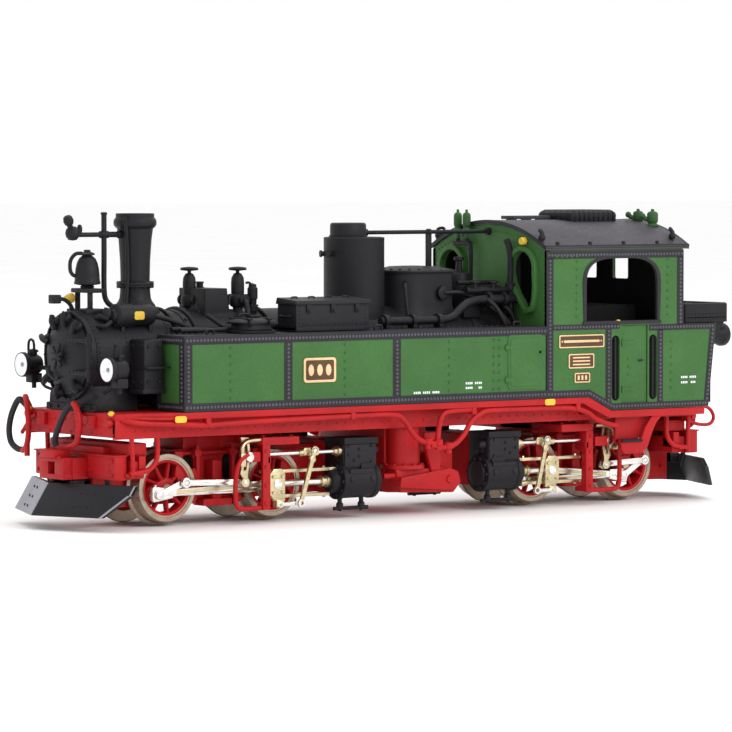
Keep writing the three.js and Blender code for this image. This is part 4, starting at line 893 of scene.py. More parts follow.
def tank_top_pipes():
    pipes = Solid("steam_pipes", BLACK, CAST)
    y = -7.2
    pipes.tube([(-5.0, y, 25.0), (2.5, y, 25.0), (6.4, y + 0.2, 25.2), (8.4, y + 0.6, 26.3),
        (10.2, y + 0.8, 27.2), (12.6, y + 0.9, 27.5), (CAB_FRONT + 0.1, y + 0.9, 27.5)], 0.55, sides=16)
    for x in (-4.2, 0.2, 4.4):
        pipes.turn("x", (y, 25.0), [(0.4, x - 0.35), (0.85, x - 0.35), (0.85, x + 0.35), (0.4, x + 0.35)],
            20)
        pipes.block(x - 0.3, x + 0.3, y - 0.7, y + 0.7, TANK_TOP - 0.05, 24.7, bevel=0.08)
    pipes.turn("x", (y + 0.9, 27.5), [(0.4, 12.9), (0.95, 12.95), (0.95, 13.5), (0.6, 13.6), (0.6, 15.4),
        (0.95, 15.5), (0.95, 16.0), (0.4, 16.1)], 20)
    pipes.tube([(11.4, -8.6, 27.6), (12.2, -9.3, 26.6), (12.8, -9.7, 25.4), (13.4, -9.8, 24.2)], 0.3)
    pipes.tube([(12.6, -5.4, 27.4), (13.8, -6.0, 26.6), (15.0, -6.6, 25.6), (16.2, -6.9, 24.2)], 0.42)
    pipes.tube([(14.4, -5.0, 27.9), (15.8, -5.6, 27.0), (17.0, -6.2, 25.8), (17.7, -6.4, 24.2)], 0.34)
    front_x = CAB_FRONT - 0.75
    pipes.tube([(front_x, -5.4, 24.2), (front_x, -5.4, 29.0), (front_x, -5.4, 33.4), (front_x, -4.6, 35.2)],
        0.42, sides=12)
    pipes.turn("z", (front_x, -5.4), [(0, 24.1), (0.8, 24.1), (0.8, 25.0), (0.5, 25.1), (0.5, 28.6),
        (0.72, 28.7), (0.72, 29.5), (0.5, 29.6), (0, 29.6)], 18)
    pipes.tube([(10.2, -5.6, 28.7), (front_x - 0.2, -5.6, 28.7)], 0.38, sides=12, curved=False)
    pipes.tube([(11.0, -2.6, 29.6), (front_x - 0.2, -2.6, 29.6)], 0.3, sides=12, curved=False)
    z = 28.7
    for x in (11.6, 14.6):
        pipes.turn("z", (x, -5.6), [(0, z - 0.1), (0.3, z - 0.1), (0.3, z + 0.9), (0.75, z + 0.95),
            (0.75, z + 1.15), (0.2, z + 1.2), (0, z + 1.25)], 16)
    pipes.block(10.6, 13.8, -4.6, 4.6, BARREL_Z + 3.6, 28.4, bevel=0.4)
    pipes.block(14.2, 17.9, -3.6, 3.6, BARREL_Z + 3.6, 29.2, bevel=0.5)
    pipes.turn("z", (14.4, 1.4), [(0, 28.6), (1.5, 28.6), (1.5, 30.4), (1.3, 30.8), (0.5, 31.0),
        (0.4, 32.4), (0.7, 32.5), (0.7, 32.9), (0, 33.0)], 28)
    pipes.tube([(-22.5, -5.9, 24.5), (-30, -5.9, 24.5), (-36.5, -5.9, 24.6)], 0.3)
    pipes.tube([(-20.3, 5.6, 24.6), (0, 5.6, 24.6), (10, 5.4, 24.8), (17.8, 5.0, 25.4)], 0.3)
    for y in (3.9, 5.8):
        pipes.turn("z", (17.6, y), [(0, 34.6), (0.3, 34.6), (0.3, 35.3), (0, 35.4)], 12)
    pipes.tube([(17.6, 3.2, 34.7), (17.6, 6.6, 34.7)], 0.3, curved=False)
    pipes.tube([(17.6, 3.2, 34.7), (17.5, 2.9, 33.6), (17.5, 2.9, 31.0), (17.5, 2.9, 28.8)], 0.3)
    pipes.done("chassis", "black_body")


def whistle(name, x, y, z0, z1, girth=1.0):
    piece = Solid(name, WHISTLE)
    h = z1 - z0
    outline = [(0, 0), (0.22, 0), (0.22, 0.22), (0.62, 0.25), (0.66, 0.3), (0.5, 0.36), (0.42, 0.4),
        (0.52, 0.44), (0.56, 0.5), (0.56, 0.78), (0.46, 0.86), (0.2, 0.9), (0.16, 0.94), (0.2, 0.98),
        (0, 1)]
    piece.turn("z", (x, y), [(r * girth, z0 + along * h) for r, along in outline], 24)
    if girth > 1:
        middle = z0 + 0.55 * h
        piece.tube([(x + 0.2, y, middle), (x - 0.7, y + 0.5, middle + 0.1),
            (x - 1.2, y + 0.8, middle + 0.5)], 0.32)
        piece.ball((x - 1.1, y + 0.75, middle + 0.45), 0.42, sides=12)
    piece.done("chassis", "green_paint")


def roof_whistles():
    top = span("bell")[1].z
    whistles = ((17.6, 3.9, 35.2, 1.0), (17.6, 5.8, 35.2, 1.0), (41.4, -3.2, 36.4, 1.25),
        (41.4, -6.2, 36.0, 1.35))
    for k, (x, y, z, girth) in enumerate(whistles):
        whistle(f"whistle_{k + 1}", x, y, z, top - 0.02, girth)


# ------------------------------------------------------------------ tanks and what stands on them


def band(piece, side, x0, x1, z0, z1, proud=0.06):
    """A riveted strip on an outer side wall."""
    piece.block(x0, x1, *on_side(side, HALF - 0.12, HALF + proud), z0, z1, 1, 0.02)
    out = side * (HALF + proud)
    if x1 - x0 > z1 - z0:
        middle = (z0 + z1) / 2
        points = row((x0 + 0.35, out, middle), (x1 - 0.35, out, middle), BAND_PITCH)
    else:
        middle = (x0 + x1) / 2
        points = row((middle, out, z0 + 0.35), (middle, out, z1 - 0.35), BAND_PITCH)
    piece.rivets(points, (0, side, 0), *BAND_RIVET)


def side_tank(side, name):
    tank = Solid(f"{name}_side_tank", GREEN, BAND, CAST, YELLOW, CAST, RIVET_HIGHLIGHT, GREEN_RIVET_SHADE)
    x0, x1 = TANK_FRONT, TANK_HIGH.x
    inner, outer = on_side(side, TANK_INNER, HALF)
    tank.block(x0, x1, inner, outer, TANK_BASE, TANK_TOP - 0.2, 0, 0.3)
    tank.block(x0, x1, *on_side(side, TANK_INNER, HALF + 0.05), TANK_TOP - 0.3, TANK_TOP - 0.02, 2, 0.12)
    rim = 0.35
    tank.block(x0 + 0.1, x1, *on_side(side, HALF - rim, HALF + 0.02), TANK_TOP - 0.2, TANK_TOP, 2, 0.08)
    low_band, high_band = (TANK_BASE, TANK_BASE + 1.05), (TANK_TOP - 1.15, TANK_TOP - 0.12)
    band(tank, side, x0, x1, *low_band)
    band(tank, side, x0, x1, *high_band)
    between = (low_band[1] - 0.05, high_band[0] + 0.05)
    band(tank, side, x0 - 0.06, x0 + 1.15, *between)
    for x in (-23.1, -6.1):
        band(tank, side, x - 0.62, x + 0.62, *between)
    face = x0 - 0.06
    for a, b, c, d in ((TANK_INNER, HALF, *low_band), (TANK_INNER, HALF, *high_band),
            (HALF - 1.1, HALF, *between), (TANK_INNER, TANK_INNER + 0.9, *between)):
        tank.block(face, x0 + 0.2, *on_side(side, a, b), c, d, 1, 0.03)
    tank.rivets(row((face, side * (HALF - 0.55), 16), (face, side * (HALF - 0.55), 22.6), 0.56), (-1, 0, 0),
        *BAND_RIVET)
    for z in ((low_band[0] + low_band[1]) / 2, (high_band[0] + high_band[1]) / 2):
        tank.rivets(row((face, side * 6.8, z), (face, side * 11.6, z), 0.56), (-1, 0, 0), *BAND_RIVET)
    out = side * HALF
    for x in (-31.9, -14.3, 2.3, 9.6, 10.5):
        points = [p for p in row((x, out, between[0] + 0.5), (x, out, between[1] - 0.5), 1.05)
            if not (-21.2 < p.x < -15.4 and 17.3 < p.z < 21.3)]
        tank.rivets(points, (0, side, 0), 0.19, 0.14, 6)
    hatch_y = on_side(side, HALF - 0.1, HALF + 0.1)
    tank.plate("y", rounded(11.9, 17.7, 15.9, 23.0, 0.5), *hatch_y, bevel=0.06)
    tank.plate("y", rounded(12.3, 17.3, 16.3, 22.6, 0.4), *on_side(side, HALF, HALF + 0.17), bevel=0.05)
    for z in (17.2, 21.4):
        tank.block(11.4, 12.7, *on_side(side, HALF, HALF + 0.19), z - 0.25, z + 0.25, bevel=0.05)
        tank.rod("z", (11.7, side * (HALF + 0.04)), 0.16, z - 0.4, z + 0.4, 12)
    tank.block(16.4, 17.9, *on_side(side, HALF, HALF + 0.2), 20.5, 20.9, bevel=0.05)
    tank.block(16.9, 17.4, *on_side(side, HALF, HALF + 0.2), 20.1, 21.3, bevel=0.05)
    tank.rivets(row((x0 + 0.8, side * TANK_INNER, TANK_TOP - 0.02), (x1 - 0.8, side * TANK_INNER,
        TANK_TOP - 0.02), 0.9), (0, 0, 1), 0.15, 0.08, 5)
    for x in (-34, -8, 14.5):
        tank.tube([(x - 0.5, side * 10.8, TANK_TOP - 0.1), (x - 0.5, side * 10.8, TANK_TOP + 0.55),
            (x + 0.5, side * 10.8, TANK_TOP + 0.55), (x + 0.5, side * 10.8, TANK_TOP - 0.1)], 0.14, tone=2)
    tank.done("chassis", "green_paint", f"{name}_tank")

    marks = Solid(f"{name}_data_marks", WHITE)
    for x_a, x_b, z in ((-3.4, 1.2, 15.95), (5.0, 7.9, 16.95), (5.0, 6.5, 16.35), (7.1, 7.9, 16.35),
            (41.4, 44.2, 16.75), (41.4, 42.6, 16.05), (43.1, 44.2, 16.05)):
        for k in range(int((x_b - x_a) / 0.3)):
            if k % 5 < 4:
                marks.block(x_a + 0.3 * k, x_a + 0.3 * k + 0.18, *on_side(side, HALF, HALF + 0.03),
                    z - 0.14, z + 0.14, bevel=0)
    marks.done("chassis", "green_paint")

    plate = Solid(f"{name}_number_plate", CREAM, PLATE)
    x_a, x_b, z_a, z_b = -20.8, -15.8, 17.75, 20.85
    edge = 0.3
    plate.plate("y", rounded(x_a, x_b, z_a, z_b, 0.4), *on_side(side, HALF - 0.05, HALF + 0.08), tone=1,
        bevel=0.02)
    frame_hole = rounded(x_a + edge, x_b - edge, z_a + edge, z_b - edge, 0.25)
    plate.plate("y", rounded(x_a, x_b, z_a, z_b, 0.4), *on_side(side, HALF, HALF + 0.17),
        [frame_hole[::-1]], bevel=0.02)
    for k in (-1, 0, 1):
        centre = (x_a + x_b) / 2 + k * 1.35
        turns = [2 * pi * n / 20 for n in range(20)]
        outline = [(centre + 0.42 * cos(turn), (z_a + z_b) / 2 + 0.72 * sin(turn)) for turn in turns]
        plate.plate("y", outline, *on_side(side, HALF, HALF + 0.16), bevel=0.03)
    plate.done("chassis", "green_paint")


def tool_chest():
    chest = Solid("tool_chest", CAST, BLACK)
    low, high = span("tool_box")
    x0, x1, y0, y1, z0 = low.x + 0.3, high.x - 0.3, -10.0, -5.9, low.z
    chest.block(x0, x1, y0, y1, z0, 27.6, bevel=0.18)
    chest.loft([ring_box(low.x, high.x, -10.3, -5.8, 27.5, 0.3), ring_box(low.x, high.x, -10.3, -5.8, 27.75,
        0.3), [p + Vector((0, 0, 0.08 * (p.y + 10.3))) for p in ring_box(low.x + 0.12, high.x - 0.12, -10.2,
        -5.9, 27.95, 0.25)]], 0)
    chest.block(x0, x1, y0 - 0.08, y1, z0, z0 + 0.5, bevel=0.06)
    for x in (x0 + 1.9, (x0 + x1) / 2, x1 - 1.9):
        chest.block(x - 0.35, x + 0.35, y0 - 0.22, y0 + 0.1, 26.4, 27.5, bevel=0.06)
        chest.ball((x, y0 - 0.2, 26.7), 0.24, sides=10)
    for x in (x0 + 0.5, x1 - 0.5):
        chest.rivets(row((x, y0, 24.6), (x, y0, 27.2), 0.55), (0, -1, 0), 0.12, 0.08)
    chest.rivets(row((x0 + 1.2, y0, 25.0), (x1 - 1.2, y0, 25.0), 0.7), (0, -1, 0), 0.12, 0.08)
    for side, x in ((-1, x0), (1, x1)):
        chest.rivets(row((x, -9.5, 24.9), (x, -6.4, 24.9), 0.6), (side, 0, 0), 0.12, 0.08)
        chest.tube([(x, -8.9, 26.2), (x + side * 0.3, -8.9, 26.0), (x + side * 0.3, -7.0, 26.0),
            (x, -7.0, 26.2)], 0.12, sides=8)
    for k in range(4):
        x = x0 + 1.7 + k * (x1 - x0 - 3.4) / 3
        chest.tube([(x - 0.45, -7.2, 28.05), (x - 0.4, -7.2, 28.34), (x + 0.4, -7.2, 28.34),
            (x + 0.45, -7.2, 28.05)], 0.1, sides=8)
    chest.done("chassis", "black_body", "tool_box")


def filler(side, name):
    piece = Solid(f"{name}_tank_filler", BLACK, CAST)
    x, y = -26.6, side * 9.1
    z0 = TANK_TOP + 0.05
    piece.block(x + 0.2, x + 1.8, *sorted((y - side * 1.0, y - side * 0.4)), z0 + 1.9, z0 + 2.15,
        bevel=0.08)
    piece.loft([ring_box(x - 2.9, x + 2.9, y - 2.3, y + 2.3, z0, 1.4),
        ring_box(x - 2.9, x + 2.9, y - 2.3, y + 2.3, z0 + 0.25, 1.4), ring_box(x - 2.4, x + 2.4, y - 1.9,
        y + 1.9, z0 + 0.45, 1.2), ring_box(x - 2.3, x + 2.3, y - 1.8, y + 1.8, z0 + 1.2, 1.2)], 0)
    piece.loft([ring_box(x - 2.8, x + 2.8, y - 2.2, y + 2.2, z0 + 1.15, 1.5),
        ring_box(x - 2.85, x + 2.85, y - 2.25, y + 2.25, z0 + 1.35, 1.5),
        ring_box(x - 2.6, x + 2.6, y - 2.0, y + 2.0, z0 + 1.6, 1.4), ring_box(x - 1.6, x + 1.6, y - 1.2,
        y + 1.2, z0 + 1.78, 1.0)], 0)
    for dx in (-1.5, 1.5):
        piece.block(x + dx - 0.3, x + dx + 0.3, y - 2.1, y + 2.3, z0 + 1.6, z0 + 1.86, bevel=0.06)
        piece.rod("x", (y + side * 2.45, z0 + 1.3), 0.3, x + dx - 0.5, x + dx + 0.5, 14)
    piece.tube([(x - 0.7, y - side * 1.4, z0 + 1.6), (x - 0.7, y - side * 1.5, z0 + 2.2),
        (x + 0.7, y - side * 1.5, z0 + 2.2), (x + 0.7, y - side * 1.4, z0 + 1.6)], 0.14, sides=8)
    piece.done("chassis", "black_body", f"{name}_filler_lid")


def headlamp(side, name):
    lamp = Solid(f"{name}_lamp", BLACK, CAST, WHITE, CAN)
    x, y, z = span(f"{name}_headlamp")[0].x, side * 9.8, 20.0
    lamp.turn("x", (y, z), [(0, x + 0.5), (1.4, x + 0.4), (1.46, x + 0.02), (1.52, x + 0.04),
        (1.56, x + 0.2), (1.56, x + 0.6), (1.4, x + 0.75), (1.26, x + 1.2), (1.22, x + 2.4),
        (1.05, x + 2.75), (0.7, x + 2.95), (0.3, x + 3.0), (0, x + 3.0)], 48)
    lamp.turn("x", (y, z), [(0, x + 0.3), (0.55, x + 0.28), (1.1, x + 0.16), (1.42, x + 0.06),
        (1.4, x + 0.45), (0, x + 0.5)], 40, tone=2)
    lamp.turn("x", (y, z), [(0, x + 0.12), (0.22, x + 0.15), (0.3, x + 0.3), (0, x + 0.4)], 20, tone=3)
    lamp.turn("z", (x + 1.9, y), [(0, z + 0.9), (0.5, z + 1.0), (0.5, z + 1.5), (0.7, z + 1.55),
        (0.62, z + 1.8), (0.2, z + 1.95), (0, z + 2.0)], 20)
    for dy in (-0.55, 0.55):
        lamp.tube([(x + 1.6, y + dy, z + 1.0), (x + 1.6, y + dy * 1.2, z + 2.2),
            (x + 1.6, y + dy * 0.9, z + 2.9), (x + 1.6, y, z + 3.15)], 0.17, sides=8)
    lamp.block(x + 1.2, x + 2.8, y - 0.75, y + 0.75, z - 2.3, z - 1.1, bevel=0.18)
    lamp.rod("z", (x + 2.0, y), 0.3, z - 3.0, z - 2.2, 14)
    inner = SMOKE_R - 0.35
    lamp.block(x + 1.9, x + 2.7, *on_side(side, inner, 9.2), z - 0.65, z - 0.1, bevel=0.1)
    lamp.tube([(x + 2.0, side * 8.8, z - 1.4), (x + 2.0, side * 7.4, z - 2.6),
        (x + 2.2, side * 6.0, z - 3.0)], 0.2)
    lamp.done("chassis", "black_body", f"{name}_headlamp")


# ------------------------------------------------------------------ cab, roof and bunker


def teardrop(side):
    """Outline [y, z] of a spectacle window: a round top that narrows towards the cab's corner."""
    points = arc((7.6, 31.5), 2.3, -12, 195, 18)
    points += [(5.7, 29.7), (6.5, 28.3), (7.4, 27.3)]
    points += arc((8.7, 27.2), 1.0, 205, 340, 6)
    points += [(9.85, 27.9), (9.98, 29.2)]
    return [(side * y, z) for y, z in points]


def grow(outline, amount):
    """Moves an outline's points away from its middle."""
    cu = sum(u for u, _ in outline) / len(outline)
    cv = sum(v for _, v in outline) / len(outline)
    points = []
    for u, v in outline:
        length = hypot(u - cu, v - cv)
        points.append((u + (u - cu) / length * amount, v + (v - cv) / length * amount))
    return points


def cab_opening():
    x0, x1, low, spring, top = 25.0, 37.2, 24.5, 28.9, 32.8
    reach = (x1 - x0) / 2
    points = [(x0, low), (x1, low)]
    for k in range(25):
        angle = pi * k / 24
        u = cos(angle)
        bend = (abs(u) ** 0.62) * (1 if u > 0 else -1)
        points.append(((x0 + x1) / 2 + reach * bend, spring + (top - spring) * sin(angle) ** 0.62))
    return points


def slot_outline(x, r=0.68, low=14.6, high=21.9):
    return arc((x, high), r, 0, 180, 8) + arc((x, low), r, 180, 360, 8)


def cab_side_outline(eave):
    return [(CAB_FRONT, TANK_BASE), (DROP_START, TANK_BASE), (DROP_END, DROP_Z), (46.2, DROP_Z),
        (47.5, BUNKER_TOP), (CAB_REAR, BUNKER_TOP), (CAB_REAR, eave), (CAB_FRONT, eave)]


def cab():
    walls = Solid("cab_walls", GREEN, BAND, INSIDE_SHADE, YELLOW, CAST, RIVET_HIGHLIGHT, GREEN_RIVET_SHADE)
    ends = roof_arc(0.55, HALF, 24)
    eave = ends[0][1]
    end_outline = [(-HALF, TANK_BASE), (HALF, TANK_BASE)] + ends[::-1]
    spectacles = [teardrop(s) for s in (-1, 1)]
    walls.plate("x", end_outline, CAB_FRONT, CAB_FRONT + 0.3, spectacles)
    inset = [(max(-HALF + 0.4, min(HALF - 0.4, y)), z - 0.05) for y, z in end_outline]
    # The inner linings, the two blocks inside, the floor and the backhead take the near-black of painted
    # shade.
    walls.plate("x", inset, CAB_FRONT + 0.28, CAB_FRONT + 0.5, spectacles, tone=2)
    rear_windows = [rounded(6.9 * s - 1.5, 6.9 * s + 1.5, 29.7, 33.0, 0.3, 3) for s in (-1, 1)]
    rear_windows.append(rounded(-1.3, 2.1, 29.7, 33.4, 0.3, 3))
    see_through = rear_windows[1:]
    walls.plate("x", [(0.99 * y, z) for y, z in end_outline], CAB_REAR - 0.3, CAB_REAR, rear_windows)
    walls.plate("x", inset, CAB_REAR - 0.5, CAB_REAR - 0.28, see_through, tone=2)
    walls.block(CAB_FRONT + 1.8, 38, -7, 7, 15.2, 26.4, 2, 0.4)
    walls.block(31.2, 35.8, 9.4, 11.7, 15.2, 33.6, 2, 0.2)
    for loop in spectacles:
        walls.plate("x", grow(loop, 0.6), CAB_FRONT - 0.75, CAB_FRONT + 0.05, [grow(loop, -0.02)], tone=0,
            bevel=0.08)
    for loop in rear_windows:
        walls.plate("x", grow(loop, 0.35), CAB_REAR - 0.05, CAB_REAR + 0.14, [grow(loop, -0.02)], tone=1,
            bevel=0.04)
    opening = cab_opening()
    outline = cab_side_outline(eave)
    slots = [slot_outline(30.06), slot_outline(36.5)]
    door_hole = [(30.98, 13.4), (35.55, 13.4), (35.55, 23.88), (30.98, 23.88)]
    for side in (-1, 1):
        skin = on_side(side, HALF - 0.3, HALF)
        liner = on_side(side, HALF - 0.5, HALF - 0.28)
        walls.plate("y", outline, *skin, [opening, *slots, door_hole])
        walls.plate("y", outline, *liner, [opening], tone=2)
        door = on_side(side, HALF - 0.32, HALF - 0.16)
        walls.plate("y", rounded(31.05, 35.48, 13.45, 23.84, 0.2), *door, bevel=0.04)
        for z in (15.4, 21.6):
            walls.block(31.3, 33.3, *on_side(side, HALF - 0.2, HALF - 0.08), z - 0.22, z + 0.22, bevel=0.04)
            walls.rod("z", (31.3, side * (HALF - 0.1)), 0.16, z - 0.4, z + 0.4, 10)
        walls.tube([(34.7, side * (HALF - 0.2), 19.2), (34.7, side * (HALF + 0.05), 19.2),
            (34.0, side * (HALF + 0.05), 19.2)], 0.1, tone=4, sides=8, curved=False)
        rim = on_side(side, HALF - 0.2, HALF + 0.1)
        walls.plate("y", grow(opening, 0.62), *rim, [grow(opening, -0.04)], tone=1, bevel=0.05)
        for x in (30.06, 36.5):
            walls.tube([(x, side * (HALF - 0.15), 14.2), (x, side * (HALF - 0.15), 22.3)], 0.16, tone=4,
                curved=False)
        bands_on_cab(walls, side, eave)
    floor = [(CAB_FRONT, -HALF + 0.5), (CAB_REAR, -HALF + 0.5), (CAB_REAR, HALF - 0.5),
        (CAB_FRONT, HALF - 0.5)]
    walls.plate("z", floor, 14.95, 15.2, tone=2)
    walls.block(46.15, 46.65, -HALF + 0.3, HALF - 0.3, DROP_Z + 0.5, BUNKER_TOP, 0)
    rear_back, rear_face = 46.62, 46.78
    for z0, z1 in ((BUNKER_TOP - 1.1, BUNKER_TOP - 0.05), (DROP_Z + 0.5, DROP_Z + 1.5)):
        walls.block(rear_back, rear_face, -HALF + 0.2, HALF - 0.2, z0, z1, 1, 0.03)
    for y in (-11.5, 0, 11.5):
        walls.block(rear_back, rear_face, y - 0.5, y + 0.5, DROP_Z + 1.4, BUNKER_TOP - 1.0, 1, 0.03)
        walls.rivets(row((rear_face, y, 14.6), (rear_face, y, 22.6), 0.6), (1, 0, 0), *BAND_RIVET)
    for z in (23.3, 13.8):
        walls.rivets(row((rear_face, -11.4, z), (rear_face, 11.4, z), 0.6), (1, 0, 0), *BAND_RIVET)
    front = CAB_FRONT - 0.02
    for x, way in ((front, -1), (CAB_REAR + 0.02, 1)):
        walls.rivets([(x, y, z - 0.8) for y, z in roof_arc(0.55, 11.0, 34)], (way, 0, 0), *FINE_RIVET)
    for y, z0, z1 in ((-11.6, 25.0, 33.4), (11.6, 25.0, 33.4), (-4.2, 27.4, 35.2), (4.2, 27.4, 35.2)):
        walls.rivets(row((front, y, z0), (front, y, z1), 0.62), (-1, 0, 0), *FINE_RIVET)
    walls.turn("x", (-7.8, 35.1), [(0, front - 0.9), (0.42, front - 0.9), (0.5, front - 0.75),
        (0.5, front - 0.2), (0.3, front), (0, front)], 20, tone=3)
    backhead = [(-4.8, 15.2), (4.8, 15.2), (5.2, 21.4)] + arc((0, 21.4), 5.2, 0, 180, 16) + [(-5.2, 21.4)]
    walls.plate("x", backhead, CAB_FRONT + 0.5, CAB_FRONT + 1.7, tone=2, bevel=0.2)
    walls.turn("x", (0, 18.6), [(0, 20.0), (1.6, 20.0), (1.6, 20.5), (1.3, 20.7), (0, 20.7)], 24, tone=4)
    walls.tube([(20.4, -2.6, 24.4), (20.9, -2.6, 24.4), (20.9, 2.6, 24.4), (20.4, 2.6, 24.4)], 0.2, tone=4,
        curved=False)
    walls.done("chassis", "green_paint", "cab_shell")


def bands_on_cab(walls, side, eave):
    high = eave - 0.1
    band(walls, side, CAB_FRONT - 0.06, CAB_FRONT + 1.05, TANK_BASE + 0.9, high - 0.9)
    band(walls, side, CAB_FRONT - 0.05, DROP_START + 0.2, TANK_BASE, TANK_BASE + 0.95, proud=0.045)
    band(walls, side, CAB_FRONT - 0.06, CAB_REAR + 0.06, high - 1.0, high)
    band(walls, side, CAB_REAR - 1.05, CAB_REAR + 0.06, BUNKER_TOP - 0.1, high - 0.9)
    band(walls, side, CAB_FRONT + 1, 30.7, 23.45, 24.15)
    band(walls, side, 35.8, 47.2, 23.1, 23.9)
    band(walls, side, DROP_END - 0.05, 46.0, DROP_Z + 0.05, DROP_Z + 0.85)
    band(walls, side, 28.35, 29.3, DROP_Z + 1.0, 23.5)
    band(walls, side, 37.25, 38.2, DROP_Z + 0.8, 23.2)
    out = side * (HALF + 0.06)
    strip = [(45.35, DROP_Z + 0.1), (46.2, DROP_Z + 0.1), (47.42, BUNKER_TOP), (46.5, BUNKER_TOP)]
    walls.plate("y", strip, *on_side(side, HALF - 0.15, HALF + 0.05), tone=1, bevel=0.02)
    walls.rivets(row((45.9, out, 13.8), (46.9, out, 23.0), 0.56), (0, side, 0), *BAND_RIVET)
    slope = [(DROP_START - 0.2, TANK_BASE), (DROP_END, DROP_Z + 0.05), (DROP_END, DROP_Z + 0.95),
        (DROP_START, TANK_BASE + 0.95)]
    walls.plate("y", slope, *on_side(side, HALF - 0.14, HALF + 0.055), tone=1, bevel=0.02)
    walls.rivets(row((DROP_START + 0.2, out, TANK_BASE + 0.35), (DROP_END - 0.2, out, DROP_Z + 0.6), 0.56),
        (0, side, 0), *BAND_RIVET)
    wall = side * HALF
    for x, z0, z1 in ((39.6, 15.4, 21.6), (32.3, 17.4, 19.4)):
        y = wall - side * (0.16 if x < 35 else 0)
        walls.rivets(row((x, y, z0), (x, y, z1), 1.05), (0, side, 0), *FIELD_RIVET)
    for x, z1 in ((23.4, 32.4), (39.0, 32.6)):
        walls.rivets(row((x, wall, 25.2), (x, wall, z1), 1.0), (0, side, 0), *FIELD_RIVET)
    walls.rivets(row((20.0, wall, 33.1), (23.4, wall, 33.1), 0.85), (0, side, 0), *FIELD_RIVET)
    walls.block(24.4, 37.8, *sorted((wall - side * 0.4, side * (HALF + 0.2))), 24.05, 24.5, 1, 0.1)
    walls.ball((30.6, side * (HALF - 0.18), 24.4), 0.36, tone=3, squash=0.8)


def cab_plates():
    for side, name in SIDES:
        plates = Solid(f"{name}_cab_plates", CREAM, PLATE)
        for x0, x1, z0, z1, kind in ((20.4, 28.0, 21.1, 22.8, "bar"), (22.0, 26.3, 18.4, 20.3, "lines"),
                (23.0, 25.6, 16.5, 17.8, "dots")):
            plates.plate("y", rounded(x0, x1, z0, z1, 0.2), *on_side(side, HALF - 0.05, HALF + 0.08),
                tone=1, bevel=0.02)
            hole = rounded(x0 + 0.16, x1 - 0.16, z0 + 0.16, z1 - 0.16, 0.12)
            plates.plate("y", rounded(x0, x1, z0, z1, 0.2), *on_side(side, HALF, HALF + 0.14), [hole[::-1]],
                bevel=0.02)
            y = on_side(side, HALF, HALF + 0.13)
            middle = (z0 + z1) / 2
            if kind == "bar":
                plates.block(x0 + 0.8, x1 - 0.8, *y, middle - 0.16, middle + 0.16, bevel=0.03)
                for x in (x0 + 0.5, x1 - 0.5):
                    plates.rivets([(x, side * (HALF + 0.08), middle)], (0, side, 0), 0.13, 0.08)
            if kind == "lines":
                for dz in (-0.45, 0, 0.45):
                    plates.block(x0 + 0.7, x1 - 0.7, *y, middle + dz - 0.09, middle + dz + 0.09, bevel=0.02)
            if kind == "dots":
                for k in (-1, 0, 1):
                    centre = (x0 + x1) / 2 + 0.62 * k
                    plates.block(centre - 0.17, centre + 0.17, *y, middle - 0.3, middle + 0.3, bevel=0.03)
        plates.done("chassis", "green_paint")


def roof_sheet():
    roof = Solid("roof_sheet", ROOF, BAND, BLACK)
    x0, x1 = CAB_FRONT - 0.3, ROOF_HIGH.x
    over = roof_arc(0, ROOF_HIGH.y, 40)
    under = roof_arc(0.45, ROOF_HIGH.y - 0.1, 40)[::-1]
    roof.plate("x", over + under, x0, x1, bevel=0.05)
    for x_a, x_b in ((x0 - 0.02, x0 + 0.2), (x1 - 0.2, x1 + 0.02)):
        strip = roof_arc(-0.04, ROOF_HIGH.y - 0.05, 40) + roof_arc(0.5, ROOF_HIGH.y - 0.15, 40)[::-1]
        roof.plate("x", [(y, min(z, ROOF_HIGH.z + 0.08)) for y, z in strip], x_a, x_b, tone=1, bevel=0.04)
    for side in (-1, 1):
        y = side * (ROOF_HIGH.y - 0.12)
        roof.plate("y", rounded(x0, x1, 34.15, 34.6, 0.15), *sorted((y - side * 0.3, y + side * 0.1)),
            tone=1, bevel=0.05)
        for x in (20.4, 25.9, 31.6, 37.4):
            roof.block(x - 0.2, x + 0.2, *on_side(side, 11.75, 12.1), 34.6, 35.05, 1, 0.06)
        for x in (CAB_FRONT - 0.1, 40.6):
            roof.tube([(x, side * 11.2, 34.9), (x, side * 11.3, 35.9), (x - 0.1, side * 10.9, 36.5),
                (x + 0.4, side * 10.4, 36.6), (x + 0.7, side * 10.6, 36.1), (x + 0.5, side * 10.9, 35.8)],
                0.2, tone=2)
            roof.ball((x + 0.1, side * 11.1, 35.6), 0.5, tone=2, sides=12)
    roof.done("chassis", "grey_roof", "cab_roof")


